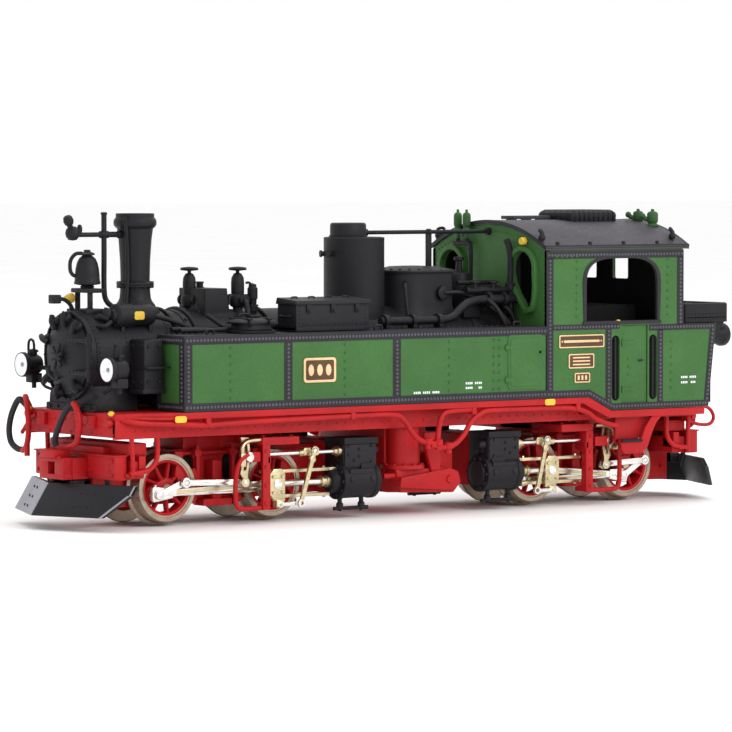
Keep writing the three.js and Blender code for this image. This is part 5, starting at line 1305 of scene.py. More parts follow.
def vent_box():
    vent = Solid("roof_vent_box", BLACK, ROOF, CAST)
    low, high = span("roof_vent")
    x0, x1 = 29.4, min(37.9, high.x)
    crown = roof_arc(0.3, 1.0)[10][1]
    vent.loft([ring_box(x0, x1, -3.6, 3.6, crown - 1.6, 0.5), ring_box(x0, x1, -3.6, 3.6, 37.9, 0.5),
        ring_box(x0 - 0.1, x1 + 0.1, -3.7, 3.7, 38.3, 0.7), ring_box(x0, x1, -3.6, 3.6, 38.7, 0.7),
        ring_box(x0 + 0.5, x1 - 0.5, -3.1, 3.1, high.z - 0.06, 0.7)], 0, bevel=0.05)
    for k in range(9):
        x = x0 + 0.7 + (x1 - x0 - 1.4) * k / 8
        for side in (-1, 1):
            vent.tube([(x, side * 3.62, 37.3), (x, side * 3.7, 38.2), (x, side * 3.5, 38.75),
                (x, side * 2.9, high.z - 0.2)], 0.12, sides=8)
    for y in (-2.4, -1.2, 0, 1.2, 2.4):
        vent.tube([(x0 - 0.03, y, 37.6), (x0 - 0.03, y, 38.3), (x0 + 0.3, y, high.z - 0.25)], 0.12, sides=8)
    plate_x = max(23.0, low.x)
    vent.block(plate_x, x0 + 0.2, 0.6, 3.4, 37.85, 38.3, 1, 0.08)
    for x in (plate_x + 0.7, 26.2, x0 - 0.8):
        vent.block(x - 0.3, x + 0.3, 1.2, 2.8, 36.9, 37.9, 0, 0.06)
    vent.done("chassis", "black_body", "roof_vent")


def bunker():
    bin_piece = Solid("coal_bin", BLACK, CAST, WHITE, CAN, INSIDE_SHADE)
    # The bunker's filled body takes the near-black of painted shade.
    bin_piece.block(CAB_REAR + 0.05, 46.1, -11.6, 11.6, 15.3, 24.2, 4, 0.1)
    outer = ring_box(42.3, 50, -11.9, 11.9, 24.0, 0.5)
    inner = ring_box(43.0, 49.3, -11.2, 11.2, 26.6, 0.4)
    bin_piece.loft([outer, [p + Vector((0, 0, 0.7)) for p in outer]], 0)
    part = bmesh.new()
    loops = []
    for points, z in ((outer, 24.6), (outer, 26.45), (ring_box(42.5, 49.8, -11.7, 11.7, 0, 0.45), 26.6),
            (inner, 26.6), (inner, 24.8)):
        loops.append([part.verts.new((p.x, p.y, z)) for p in points])
    join_rings(part, loops)
    bin_piece.absorb(part, 0)
    for side in (-1, 1):
        for z in (25.1, 24.4):
            bin_piece.rivets(row((42.9, side * 11.9, z), (49.4, side * 11.9, z), 0.62), (0, side, 0), 0.13,
                0.09)
        bin_piece.plate("y", [(46.9, 24.1), (49.6, 24.1), (47.6, 21.4), (47.2, 21.4)],
            *on_side(side, 11.2, 11.6), bevel=0.06)
        y, z, x = side * 9.8, 22.2, 51.4
        bin_piece.turn("x", (y, z), [(0, 46.8), (0.9, 46.8), (1.15, 47.2), (1.22, 48.8), (1.3, 49.6),
            (1.46, 50.0), (1.55, 50.2), (1.55, 50.8), (1.44, 51.0), (1.2, 51.1), (1.12, 50.9), (0, 50.6)],
            44)
        bin_piece.turn("x", (y, z), [(0, x - 0.6), (1.1, x - 0.6), (1.1, x - 0.45), (0.6, x - 0.32),
            (0, x - 0.3)], 36, tone=2)
        bin_piece.turn("x", (y, z), [(0, x - 0.4), (0.26, x - 0.4), (0.26, x - 0.22), (0, x - 0.2)], 18,
            tone=3)
        bin_piece.block(47.3, 48.5, *on_side(side, 9.3, 10.3), 22.8, 24.1, 0, 0.12)
        bin_piece.tube([(48.6, y - 0.5, z + 1.1), (48.6, y - 0.5, z + 1.7), (48.6, y + 0.5, z + 1.7),
            (48.6, y + 0.5, z + 1.1)], 0.13)
        bin_piece.tube([(47.0, side * 8.2, 22.9), (48.2, side * 8.0, 22.6), (48.4, side * 8.0, 21.4),
            (47.2, side * 8.0, 20.4)], 0.14)
    bin_piece.rivets(row((50, -11.2, 25.1), (50, 11.2, 25.1), 0.62), (1, 0, 0), 0.13, 0.09)
    bin_piece.done("chassis", "black_body", "coal_bunker")

    heap = Solid("coal_heap", COAL)
    rng = random.Random(87)
    for _ in range(150):
        x = rng.uniform(43.8, 48.5)
        y = rng.uniform(-10.4, 10.4)
        crown = 1.2 * (1 - ((x - 46.1) / 3.6) ** 2) * (1 - (y / 12.5) ** 2)
        size = rng.uniform(0.55, 1.05)
        part = bmesh.new()
        bmesh.ops.create_icosphere(part, subdivisions=1, radius=size)
        for vert in part.verts:
            vert.co *= rng.uniform(0.72, 1.12)
        bmesh.ops.rotate(part, verts=part.verts, matrix=Matrix.Rotation(rng.uniform(0, 6.28), 3, "Z"))
        bmesh.ops.translate(part, verts=part.verts, vec=(x, y, 24.9 + crown))
        heap.absorb(part)
    base = bmesh.new()
    bmesh.ops.create_grid(base, x_segments=14, y_segments=44, size=0.5)
    for vert in base.verts:
        vert.co.x, vert.co.y = 46.15 + vert.co.x * 6.2, vert.co.y * 22.2
        vert.co.z = 24.75 + 0.9 * (1 - ((vert.co.x - 46.15) / 3.6) ** 2) + rng.uniform(-0.15, 0.15)
    copied = bmesh.ops.extrude_face_region(base, geom=list(base.faces))
    for vert in [v for v in copied["geom"] if isinstance(v, bmesh.types.BMVert)]:
        vert.co.z = 24.3
    heap.absorb(base)
    heap.done("chassis", "black_body", sharp=12)


def drive_parts():
    """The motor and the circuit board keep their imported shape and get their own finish."""
    for node, material in (("motor", CAN), ("circuit_board", BOARD)):
        data = frame["nodes"][node].data
        data.materials.clear()
        data.materials.append(material)


def hoses():
    hose = Solid("front_and_rear_hoses", RED, RUBBER, YELLOW)
    x = FRONT_BEAM - 0.75
    far_black = [(x + 0.7, 9.4, 14.4), (x - 0.1, 9.9, 15.4), (x - 0.4, 10.4, 15.5), (x - 0.7, 11.4, 13.8),
        (x - 0.8, 11.9, 11.8), (x - 0.7, 11.6, 10.2), (x - 0.4, 10.6, 9.4), (x - 0.2, 9.6, 9.3)]
    hose.tube(far_black, 0.4, tone=1)
    far_red = [(x + 0.6, 9.3, 14.8), (x - 0.2, 9.0, 15.9), (x - 0.6, 8.2, 15.9), (x - 0.9, 7.5, 14.9),
        (x - 0.9, 7.2, 13.0), (x - 0.8, 7.4, 11.2), (x - 0.6, 8.2, 9.8), (x - 0.4, 9.4, 9.2)]
    hose.tube(far_red, 0.36)
    hose.tube([(x - 0.6, 8.0, 10.2), (x - 0.6, 8.0, 8.6)], 0.36, curved=False)
    hose.tube([(x + 0.3, 10.6, 11.4), (x + 0.3, 8.6, 13.2), (x + 0.5, 7.6, 13.8)], 0.26)
    near_black = [(x + 0.7, -2.6, 14.2), (x - 0.4, -2.1, 15.4), (x - 0.9, -1.2, 14.4), (x - 1.0, 0.2, 12.4),
        (x - 1.0, 0.9, 10.9), (x - 0.9, 0.8, 10.2)]
    hose.tube(near_black, 0.4, tone=1)
    near_red = [(x + 0.7, -2.2, 14.2), (x - 0.3, -2.4, 15.4), (x - 0.8, -3.3, 15.6), (x - 1.0, -4.2, 14.8),
        (x - 1.0, -4.6, 13.0), (x - 1.0, -4.2, 11.2), (x - 0.9, -3.2, 10.5), (x - 0.8, -2.0, 10.3)]
    hose.tube(near_red, 0.38)
    for y in (-5.0, -1.6, 6.2):
        hose.block(x + 0.2, x + 0.9, y - 0.9, y + 0.9, 12.6, 14.2, 0, 0.2)
    for y, z in ((9.2, 13.9), (-3.0, 13.9), (-9.0, 13.4), (-4.2, 13.6)):
        hose.turn("x", (y, z), [(0, x + 0.1), (0.55, x + 0.1), (0.6, x + 0.3), (0.6, x + 0.85),
            (0, x + 0.9)], 18, tone=0)
    rear = 45.9
    for s in (-1, 1):
        hose.tube([(rear - 0.2, s * 6.0, 11.6), (rear + 0.8, s * 6.2, 12.2), (rear + 1.3, s * 7.0, 12.2),
            (rear + 1.5, s * 7.7, 11.2), (rear + 1.3, s * 7.8, 10.2), (rear + 0.9, s * 7.2, 9.6)], 0.3)
        hose.tube([(rear - 0.2, s * 9.2, 11.4), (rear + 0.9, s * 9.3, 12.3), (rear + 2.3, s * 9.2, 12.5),
            (rear + 3.5, s * 9.1, 11.9), (rear + 4.0, s * 9.0, 10.9), (rear + 3.3, s * 9.0, 10.1),
            (rear + 1.4, s * 9.0, 10.1), (rear - 0.6, s * 9.0, 10.7)], 0.24)
        for y, z in ((6.0, 11.5), (9.2, 11.3)):
            hose.turn("x", (s * y, z), [(0, rear - 0.4), (0.55, rear - 0.4), (0.55, rear + 0.3),
                (0, rear + 0.4)], 18)
    hose.done("chassis", "red_frame")


# ------------------------------------------------------------------ bogies
#
# Each bogie is drawn with its outer end towards +X and its gear on the +Y side, and then mirrored.

AXLE_Z = pivot("front_outer_axle_spin").z
FLANGE_R = AXLE_Z
TREAD_R = AXLE_Z - 0.5
SLIDE_BAR_Z = 1.58

# The combination lever of a bogie without shift, the lower arm of the expansion link, and how far the motion
# bracket stands behind the trunnion of that link.
LEVER_X = 17.2
LINK_ARM = 3.2
BRACKET_GAP = {"front": 3.05, "rear": 4.05}


class Bogie:
    """Where one bogie's parts are, with the outer end taken as +X."""

    def __init__(self, end):
        self.end = end
        self.front = end == "front"
        self.sign = -1 if self.front else 1
        self.shift = self.sign * pivot(f"{end}_left_combination_lever_swing").x - LEVER_X
        self.outer = self.at("outer_axle_spin")
        self.inner = self.at("inner_axle_spin")
        self.trunnion = self.at("left_expansion_link_swing")
        self.plate_x = self.trunnion[0] - BRACKET_GAP[end]

    def at(self, joint):
        point = pivot(f"{self.end}_{joint}")
        return (self.sign * point.x, point.z)

    def reach(self, node):
        """Inner and outer end of a node, measured towards +X."""
        low, high = span(f"{self.end}_{node}")
        return sorted((self.sign * low.x, self.sign * high.x))

    def finish(self, piece, side, body, slot, *nodes, sharp=38):
        piece.flip(x=self.front, y=side == "left")
        piece.done(f"{self.end}_{body}", slot, *(f"{self.end}_{node}" for node in nodes), sharp=sharp)


def bogie_frame(bogie):
    shift, plate_x, link_x = bogie.shift, bogie.plate_x, bogie.trunnion[0]
    casting = Solid(f"{bogie.end}_frame_casting", RED, NICKEL, CAST, SILVER, SHADE_FILL_BLACK)
    hub = 0.92
    outline = [(12.6 + shift, 3.2), (46.5, 2.4), (46.5, 9.4), (12.6 + shift, 9.4)]
    for y0, y1 in ((-3.3, -2.5), (2.5, 3.3)):
        holes = [arc(axle, hub, 0, 337.5, 15) for axle in (bogie.inner, bogie.outer)]
        holes += [rounded(25.0, 27.0, 5.4, 8.6, 0.6), rounded(31.4, 33.2, 5.4, 8.6, 0.6)]
        casting.plate("y", outline, y0, y1, [hole[::-1] for hole in holes], bevel=0.06)
    # The two near-black blocks between the frame plates are painted shade.
    casting.block(12.6 + shift, 19.4, -2.6, 2.6, 3.4, 9.2, 4)
    casting.block(23.0, 35.2, -2.6, 2.6, 2.9, 8.4, 4)
    casting.block(39.2, 46.4, -2.6, 2.6, 2.5, 9.3, 0)
    casting.block(19.6 + shift, 27.4, -3.3, 3.3, 9.35, 10.9, 0, 0.1)
    casting.block(30.8, 33, -3.3, 3.3, 9.35, 10.9, 0, 0.1)
    for y0, y1 in ((-3.3, -1.7), (1.7, 3.3)):
        casting.block(27.3, 30.9, y0, y1, 9.35, 10.9, 0, 0.08)
    casting.block(19.6 + shift, plate_x + 1.2, -9.75, 9.75, 9.9, 10.9, 0, 0.15)
    casting.block(7.4 + shift, 12.65 + shift, -5.35, 5.35, 3.2, 9.9, 0, 0.15)
    casting.bolts([(x, y, 10.9) for x in (19.6 + shift + 0.7, plate_x + 0.5)
        for y in (-8.8, -6.4, 6.4, 8.8)], (0, 0, 1), 0.3, 0.2)
    for side in (-1, 1):
        def slab(x0, x1, y0, y1, z0, z1, tone=0, bevel=0.08):
            casting.block(x0, x1, *on_side(side, y0, y1), z0, z1, tone, bevel)

        bracket = [(7.35, 1.85), (9.75, 1.85), (9.75, 9.95), (7.35, 9.95), (7.35, 7.5), (8.7, 7.1),
            (8.7, 2.7), (7.35, 2.4)]
        casting.plate("x", [(side * y, z) for y, z in bracket], plate_x, plate_x + 0.4, bevel=0.06)
        slab(plate_x + 0.3, plate_x + 1.15, 9.3, 9.78, 1.8, 9.95)
        slab(plate_x - 0.1, plate_x + 0.9, 9.0, 9.75, 7.6, 8.5)
        slab(plate_x + 1.5, link_x + 0.5, 9.3, 9.78, 7.85, 9.15, 0, 0.2)
        casting.turn("y", bogie.trunnion, [(0, side * 8.3), (0.26, side * 8.3), (0.26, side * 9.3),
            (0.6, side * 9.35), (0.62, side * 9.75), (0.35, side * 9.82), (0, side * 9.82)], 24, tone=3)
        casting.tube([(plate_x + 0.3, side * 9.2, 2.05), (link_x + 0.6, side * 9.2, 2.0),
            (link_x + 1.7, side * 9.25, 2.3), (link_x + 2.0, side * 9.3, 3.6),
            (link_x + 1.9, side * 9.35, 6.6), (link_x + 1.3, side * 9.5, 8.2),
            (link_x + 0.2, side * 9.55, 8.8)], 0.32)
        casting.bolts([(plate_x + 0.7, side * 9.78, z) for z in (2.6, 4.9, 7.2, 9.2)], (0, side, 0), 0.24,
            0.16)
        for dz in (-SLIDE_BAR_Z, SLIDE_BAR_Z):
            z = AXLE_Z + dz
            bar = [(13.95 + shift, z - 0.2), (plate_x + 0.1, z - 0.2), (plate_x + 0.1, z + 0.2),
                (13.95 + shift, z + 0.2)]
            casting.plate("y", bar, *on_side(side, 7.35, 8.45), tone=1, bevel=0.06)
            for x in (14.5 + shift, plate_x - 0.5):
                sign = 1 if dz > 0 else -1
                casting.bolts([(x, side * 7.9, z + sign * 0.2)], (0, 0, sign), 0.22, 0.22, 1)
        slab(12.2 + shift, 14.1 + shift, 6.0, 8.45, AXLE_Z + 1.42, AXLE_Z + 1.78, 1, 0.06)
        slab(12.2 + shift, 12.7 + shift, 5.0, 8.45, AXLE_Z + 1.42, AXLE_Z + 1.78, 1, 0.06)
        for wheel, reach in ((bogie.inner, 1), (bogie.outer, -1)):
            shoe = [(wheel[0] + reach * (TREAD_R + r) * cos(radians(turn * a)),
                wheel[1] + (TREAD_R + r) * sin(radians(turn * a))) for r, turn in ((0.25, 1), (0.85, -1))
                for a in (-26, -13, 0, 13, 26)]
            casting.plate("y", shoe, *on_side(side, 4.0, 5.2), tone=0, bevel=0.06)
            hanger_x = wheel[0] + reach * (TREAD_R + 1.0)
            slab(hanger_x - 0.25, hanger_x + 0.25, 4.3, 4.9, 4.2, 9.9, 0, 0.06)
            slab(hanger_x - 0.5, hanger_x + 0.5, 3.0, 5.0, 8.6, 9.4, 0, 0.08)
        slab(26.9, 31.3, 3.0, 5.4, 2.3, 3.2, 0, 0.15)
        slab(28.4, 29.8, 3.0, 5.2, 3.0, 8.0, 0, 0.2)
        casting.tube([(15.6 + shift, side * 3.9, 8.6), (24, side * 3.9, 8.9), (40, side * 3.9, 8.9),
            (45.8, side * 3.6, 8.4)], 0.26)
        for x in (23.2, 35.0, 41.6):
            slab(x - 0.6, x + 0.6, 3.2, 5.4, 8.4, 9.3, 0, 0.1)
        casting.bolts([(x, side * 3.3, z) for x in (43, 45.4) for z in (4.2, 7.6)], (0, side, 0), 0.26, 0.2)
        slab(42.6, 44.8, 3.2, 9.0, 6.4, 8.6, 0, 0.2)
        slab(42.6, 43.6, 7.0, 9.3, 7.1, 9.2, 0, 0.12)
        casting.tube([(44.9, side * 9.6, 11.4), (44.8, side * 9.6, 7.0), (45.4, side * 9.0, 6.9)], 0.32)
        casting.tube([(41.1, side * 9.6, 11.4), (41.1, side * 9.6, 9.4), (41.4, side * 9.6, 8.4),
            (42.2, side * 9.6, 7.6), (43.4, side * 9.6, 7.3), (45.2, side * 9.6, 7.1)], 0.32)
        slab(43.2, 45.2, 8.2, 9.9, 6.9, 7.2, 0, 0.08)
    casting.block(45.3, 47.0, -9.1, 9.1, 6.3, 9.35, 0, 0.14)
    casting.block(42.0, 45.2, -8.6, 8.6, 9.3, 10.8, 0, 0.2)
    casting.block(44.9, 46.4, -5.4, 5.4, 9.3, 10.3, 0, 0.2)
    casting.block(45.1, 47.2, -9.2, 9.2, 9.2, 9.4, 0, 0.06)
    for side in (-1, 1):
        arm_x = link_x + 0.9
        casting.tube([(arm_x - 3.0, side * 9.2, 10.6), (arm_x - 1.0, side * 9.2, 10.5),
            (arm_x, side * 9.3, 9.9), (arm_x + 0.1, side * 9.4, 8.7)], 0.3, tone=1)
        casting.block(arm_x - 0.3, arm_x + 0.5, *on_side(side, 9.1, 9.7), 7.3, 9.0, 1, 0.12)
    casting.block(46.9, 49.2, -2.9, 2.9, 6.2, 8.9, 0, 0.14)
    casting.block(46.9, 50.5, -2.72, 2.72, 6.2, 6.85, 0, 0.1)
    casting.block(46.9, 50.5, -2.72, 2.72, 8.35, 8.9, 0, 0.1)
    for y in (-8.4, 8.4):
        casting.bolts([(47.0, y, z) for z in (6.9, 8.7)], (1, 0, 0), 0.26, 0.2)
    for y0, y1 in ((-2.72, -0.75), (0.75, 2.72)):
        casting.block(48.9, 50.5, y0, y1, 6.8, 8.4, 0, 0.1)
    casting.block(48.6, 51.2, -1.6, 1.6, 8.85, 9.85, 0, 0.2)
    casting.turn("z", (49.9, 0), [(0, 9.7), (0.6, 9.7), (0.6, 9.86), (0, 9.88)], 20)
    casting.bolts([(50.6, y, 8.9) for y in (-2.1, 2.1)], (0, 0, 1), 0.3, 0.2)
    casting.rivets([(47.0, side * y, z) for side in (-1, 1) for y in (3.3, 7.9)
        for z in (6.7, 7.4, 8.1, 8.8)], (1, 0, 0), 0.18, 0.12)
    # The near-black strip in the coupler slot is painted shade.
    casting.block(49.1, 49.3, -0.8, 0.8, 6.8, 8.4, 4)
    bogie.finish(casting, "right", "bogie", "red_frame", "bogie_frame")


def plough_blades(bogie):
    blade = Solid(f"{bogie.end}_plough_blades", PLOUGH, PLOUGH_PAINTED_HIGHLIGHT, CAST)
    low, high = 1.8, 5.75
    tip = span(f"{bogie.end}_plough")
    reach = max(abs(tip[0].x), abs(tip[1].x))
    lean = (reach - 51.2) / (high - low)
    half, sweep, ridge = 11.8, 5.0, 50.8

    def face(t, z, out=0.0):
        """A point on a wing of the far side: t runs from the middle at 0 to the wing's end at 1."""
        return Vector((ridge - sweep * t + lean * (high - z) + out, half * t, z))

    for side in (-1, 1):
        # Tone 1 is the pale grey of painted highlight, given to the outer end of the rear plough's left
        # wing.
        for low_t, tone in ((0.0, 0), (0.72, 1)):
            if tone and (side > 0 or bogie.front):
                continue
            corners = [face(low_t, high), face(1.0, high), face(1.0, high - 1.2), face(0.8, low),
                face(low_t, low)]
            if side > 0:
                corners = [face(low_t, high), face(1.0, high), face(1.0, low), face(low_t, low)]
            front = [p + Vector((0.02 + 0.05 * tone, 0, 0)) for p in corners]
            back = [p - Vector((0.55 - 0.6 * tone, 0, 0)) for p in corners]
            blade.loft([[Vector((p.x, side * p.y, p.z)) for p in row_of] for row_of in (back, front)], tone,
                bevel=0.04)
    # The right wing's pale face and the left wing's pale edge and tip are painted highlight.
    pale = [face(t, z, 0.06) for t, z in ((0.03, high), (1.0, high), (1.0, low), (0.03, low))]
    blade.loft([[p - Vector((0.05, 0, 0)) for p in pale], pale], 1)
    edge = [face(1.0, high - 1.15, 0.05), face(0.8, low, 0.05), face(0.77, low, 0.05),
        face(0.97, high - 1.15, 0.05)]
    blade.loft([[Vector((p.x + out, -p.y, p.z)) for p in edge] for out in (-0.3, 0)], 1)
    tip_edge = [face(1, high), face(1, high - 1.2), face(0.985, high - 1.2), face(0.985, high)]
    blade.loft([[Vector((p.x + out, -p.y, p.z)) for p in tip_edge] for out in (-0.3, 0.05)], 1)
    for z in (2.6, 3.7, 4.8):
        for t in (0.42, 0.58):
            blade.rivets([face(t, z, 0.06)], (1, 0.4, 0), 0.2, 0.14, 2)
    for t in (0.42, 0.5, 0.58):
        for z in (3.0, 4.6):
            spot_at = face(t, z, 0.02)
            blade.rivets([(spot_at.x, -spot_at.y, z)], (1, -0.4, 0), 0.16, 0.1, 2)
    for side in (-1, 1):
        blade.block(46.6, 49, *on_side(side, 1.9, 2.9), 4.6, 6.1, 0, 0.12)
        blade.tube([(46.6, side * 6.6, 6.3), (46.4, side * 6.6, 5.2), (46.2, side * 6.5, 4.4)], 0.34)
    blade.block(46.55, 47.6, -2.9, 2.9, 4.6, 6.1, 0, 0.12)
    bogie.finish(blade, "right", "bogie", "plough_grey", "plough")


def cylinder_block(bogie, side):
    shift = bogie.shift
    block = Solid(f"{bogie.end}_{side}_cylinder_block", BLACK, NICKEL, SILVER, CAST, SHADE_FILL_BLACK)
    y, z = 7.9, AXLE_Z
    x0, x1 = 7 + shift, 12.8 + shift
    block.turn("x", (y, z), [(0.56, x0), (2.3, x0), (2.4, x0 + 0.1), (2.4, x0 + 0.7), (2.28, x0 + 0.78),
        (2.28, x1 - 0.78), (2.4, x1 - 0.7), (2.4, x1 - 0.1), (2.3, x1), (0.56, x1)], 64)
    block.plate("y", rounded(x0 + 0.9, x1 - 0.9, z + 0.9, z + 1.5, 0.2), 9.8, 10.05, tone=3, bevel=0.08)
    for x in (x0 + 1.3, x1 - 1.3):
        block.turn("y", (x, z + 0.2), [(0, 9.9), (0.42, 9.9), (0.42, 10.25), (0.3, 10.34), (0, 10.36)], 18,
            tone=3)
    for x, out in ((x0, -1), (x1, 1)):
        block.bolts(around("x", x, (y, z), 1.95, range(0, 360, 36)), (out, 0, 0), 0.22, 0.2, 3)
    block.turn("x", (y, z), [(0.56, x1 - 0.05), (1.6, x1 - 0.05), (1.6, x1 + 0.7), (1.3, x1 + 1.05),
        (0.56, x1 + 1.05)], 40, tone=3)
    block.turn("x", (y, z), [(0.5, x1 + 1.0), (0.76, x1 + 1.0), (0.76, x1 + 1.5), (0.6, x1 + 1.6),
        (0.6, x1 + 2.0), (0.74, x1 + 2.05), (0.74, x1 + 2.35), (0.5, x1 + 2.4)], 28, tone=1)
    block.turn("x", (y, z), [(0, x0 - 0.45), (1.2, x0 - 0.45), (1.6, x0 - 0.3), (1.68, x0),
        (1.68, x0 + 0.1), (0, x0 + 0.1)], 44, tone=3)
    chest_x0, chest_x1 = 7.4 + shift, 12.6 + shift
    block.block(chest_x0, chest_x1, 5.5, 9.55, 5.7, 10.2, 0, 0.18)
    block.block(chest_x0 - 0.1, chest_x1 + 0.1, 5.5, 9.9, 9.55, 10.38, 0, 0.12)
    cover = rounded(chest_x0 + 0.15, chest_x1 - 0.15, 6.7, 9.5, 0.3)
    block.plate("y", cover, 9.5, 9.72, tone=3, bevel=0.06)
    block.plate("y", rounded(chest_x0 + 0.5, chest_x0 + 2.6, 6.2, 7.1, 0.2), 9.65, 9.86, tone=0, bevel=0.06)
    for x, zz in ((0.7, 9.3), (0.7, 8.2), (2.4, 8.9), (2.4, 8.0), (4.3, 9.3), (4.3, 7.2), (1.6, 7.5)):
        block.bolts([(chest_x1 - x, 9.72, zz)], (0, 1, 0), 0.2, 0.14, 0)
    block.turn("x", (8.6, 8.7), [(0, chest_x1 - 0.1), (0.7, chest_x1 - 0.1), (0.7, chest_x1 + 0.5),
        (0.5, chest_x1 + 0.6), (0.5, chest_x1 + 1.0), (0, chest_x1 + 1.0)], 24, tone=1)
    block.turn("x", (8.6, 8.7), [(0, chest_x0 - 0.9), (0.3, chest_x0 - 0.85), (0.5, chest_x0 - 0.6),
        (0.6, chest_x0), (0, chest_x0 + 0.1)], 24, tone=3)
    spindle_end = 23.6 + shift
    block.turn("x", (8.6, 8.7), [(0, 12.4 + shift), (0.28, 12.4 + shift), (0.28, spindle_end - 0.05),
        (0.2, spindle_end), (0, spindle_end)], 18, tone=2)
    block.plate("y", rounded(16.0 + shift, 18.4 + shift, 8.3, 9.3, 0.25), 8.2, 8.98, tone=1, bevel=0.08)
    block.turn("x", (8.6, 8.7), [(0, 18.3 + shift), (0.46, 18.3 + shift), (0.46, 19.0 + shift),
        (0, 19.0 + shift)], 16, tone=1)
    lever = bogie.at("left_combination_lever_swing")
    block.turn("y", lever, [(0, 8.8), (0.3, 8.8), (0.3, 9.78), (0.24, 9.85), (0, 9.86)], 20, tone=2)
    for x in (8.6 + shift, 12.0 + shift):
        block.turn("z", (x, 7.9), [(0, 0.95), (0.22, 0.95), (0.3, 1.2), (0.46, 1.3), (0.46, 1.9),
            (0.3, 2.1), (0.3, 4.4), (0, 4.4)], 16, tone=3)
    block.tube([(7.6 + shift, 7.9, 1.3), (12.9 + shift, 7.9, 1.3)], 0.26, tone=3, curved=False)
    bogie.finish(block, side, "bogie", "black_body", f"{side}_cylinder")


def steam_pipes(bogie):
    pipe = Solid(f"{bogie.end}_receiver_pipe", BLACK, CAST)
    for side in (-1, 1):
        x = 9.2 + bogie.shift
        pipe.tube([(x - 0.2, side * 4.4, 8.6), (x - 0.8, side * 6.2, 8.2), (x - 1.4, side * 7.4, 7.6),
            (x - 1.2, side * 8.6, 8.4), (x + 0.6, side * 8.8, 9.6)], 0.62, sides=16)
    bogie.finish(pipe, "right", "bogie", "black_body")


def wheels(bogie, which):
    axle = bogie.outer if which == "outer" else bogie.inner
    set_piece = Solid(f"{bogie.end}_{which}_wheels", WHEEL_RED, TYRE, SILVER, NICKEL, RIM)
    set_piece.rod("y", axle, 0.8, -4.2, 4.2, 28, tone=4)
    set_piece.rod("y", axle, 1.9, -1.2, 1.2, 28, tone=4)
    for s, side in SIDES:
        pin = Vector(bogie.at(f"{side}_coupling_rod_pin")) - Vector(bogie.outer)
        crank = (axle[0] + pin.x, axle[1] + pin.y)
        angle = atan2(pin.y, pin.x)
        back, face = 3.7, 5.9

        def along(*points):
            return [(r, s * y) for r, y in points]

        set_piece.hoop("y", axle, along((3.42, back + 0.05), (FLANGE_R - 0.12, back),
            (FLANGE_R, back + 0.14), (FLANGE_R - 0.04, back + 0.32), (TREAD_R + 0.12, back + 0.5),
            (TREAD_R, back + 0.8), (TREAD_R - 0.08, face - 0.15), (TREAD_R - 0.16, face), (3.72, face),
            (3.68, face - 0.1), (3.42, face - 0.12)), 96, tone=1)
        set_piece.hoop("y", axle, along((3.1, back + 0.4), (3.5, back + 0.4), (3.5, face - 0.08),
            (3.34, face - 0.05), (3.14, face - 0.2)), 80, tone=0)
        for k in range(9):
            turn = angle + 2 * pi * k / 9
            u = Vector((cos(turn), 0, sin(turn)))
            v = Vector((-sin(turn), 0, cos(turn)))
            centre = Vector((axle[0], 0, axle[1]))
            rings = []
            for r, half, y0, y1 in ((0.6, 0.42, 4.5, 5.72), (1.6, 0.3, 4.6, 5.62), (3.0, 0.24, 4.6, 5.55),
                    (3.35, 0.3, 4.6, 5.55)):
                mid = (y0 + y1) / 2
                section = []
                for a in range(12):
                    spin = 2 * pi * a / 12
                    offset = centre + u * r + v * (half * cos(spin))
                    section.append(Vector((offset.x, s * (mid + (y1 - y0) / 2 * sin(spin)), offset.z)))
                rings.append(section)
            set_piece.loft(rings, 0)
        set_piece.turn("y", axle, along((0, back + 0.2), (1.35, back + 0.2), (1.25, face - 0.35),
            (1.05, face - 0.15), (0.95, face - 0.1), (0.62, face - 0.08), (0.6, face - 0.2),
            (0, face - 0.2)), 36, tone=0)
        set_piece.turn("y", axle, along((0, face - 0.25), (0.52, face - 0.25), (0.5, face - 0.05),
            (0.2, face - 0.02), (0, face - 0.06)), 24, tone=3)
        web = arc(crank, 0.95, degrees(angle) - 70, degrees(angle) + 70, 10)
        web += arc(axle, 1.25, degrees(angle) + 100, degrees(angle) + 260, 10)
        set_piece.plate("y", web, *on_side(s, 4.6, face - 0.12), tone=0, bevel=0.12)
        weight = arc(axle, 3.2, degrees(angle) + 180 - 42, degrees(angle) + 180 + 42, 14)
        weight += arc(axle, 1.95, degrees(angle) + 180 + 30, degrees(angle) + 180 - 30, 8)
        set_piece.plate("y", weight, *on_side(s, 4.7, face - 0.22), tone=0, bevel=0.08)
        if which == "outer":
            far = Vector(bogie.at(f"{side}_eccentric_rod_pin"))
            set_piece.turn("y", crank, along((0, 5.5), (0.38, 5.5), (0.38, 7.3), (0, 7.3)), 20, tone=2)
            set_piece.link(crank, (far.x, far.y), on_side(s, 7.25, 7.65), 0.85, (0.66, 0.56), tone=2,
                bevel=0.08)
            set_piece.turn("y", crank, along((0, 7.6), (0.4, 7.6), (0.4, 7.72), (0.2, 7.8), (0, 7.8)), 20,
                tone=2)
            set_piece.turn("y", (far.x, far.y), along((0, 7.3), (0.32, 7.3), (0.32, 8.26), (0.26, 8.32),
                (0, 8.33)), 20, tone=2)
        else:
            set_piece.turn("y", crank, along((0, 5.5), (0.38, 5.5), (0.38, 6.5), (0.46, 6.51), (0.46, 6.62),
                (0.2, 6.7), (0, 6.7)), 20, tone=2)
    set_piece.flip(x=bogie.front)
    set_piece.done(f"{bogie.end}_{which}_wheelset", "red_wheel", f"{bogie.end}_{which}_wheelset")


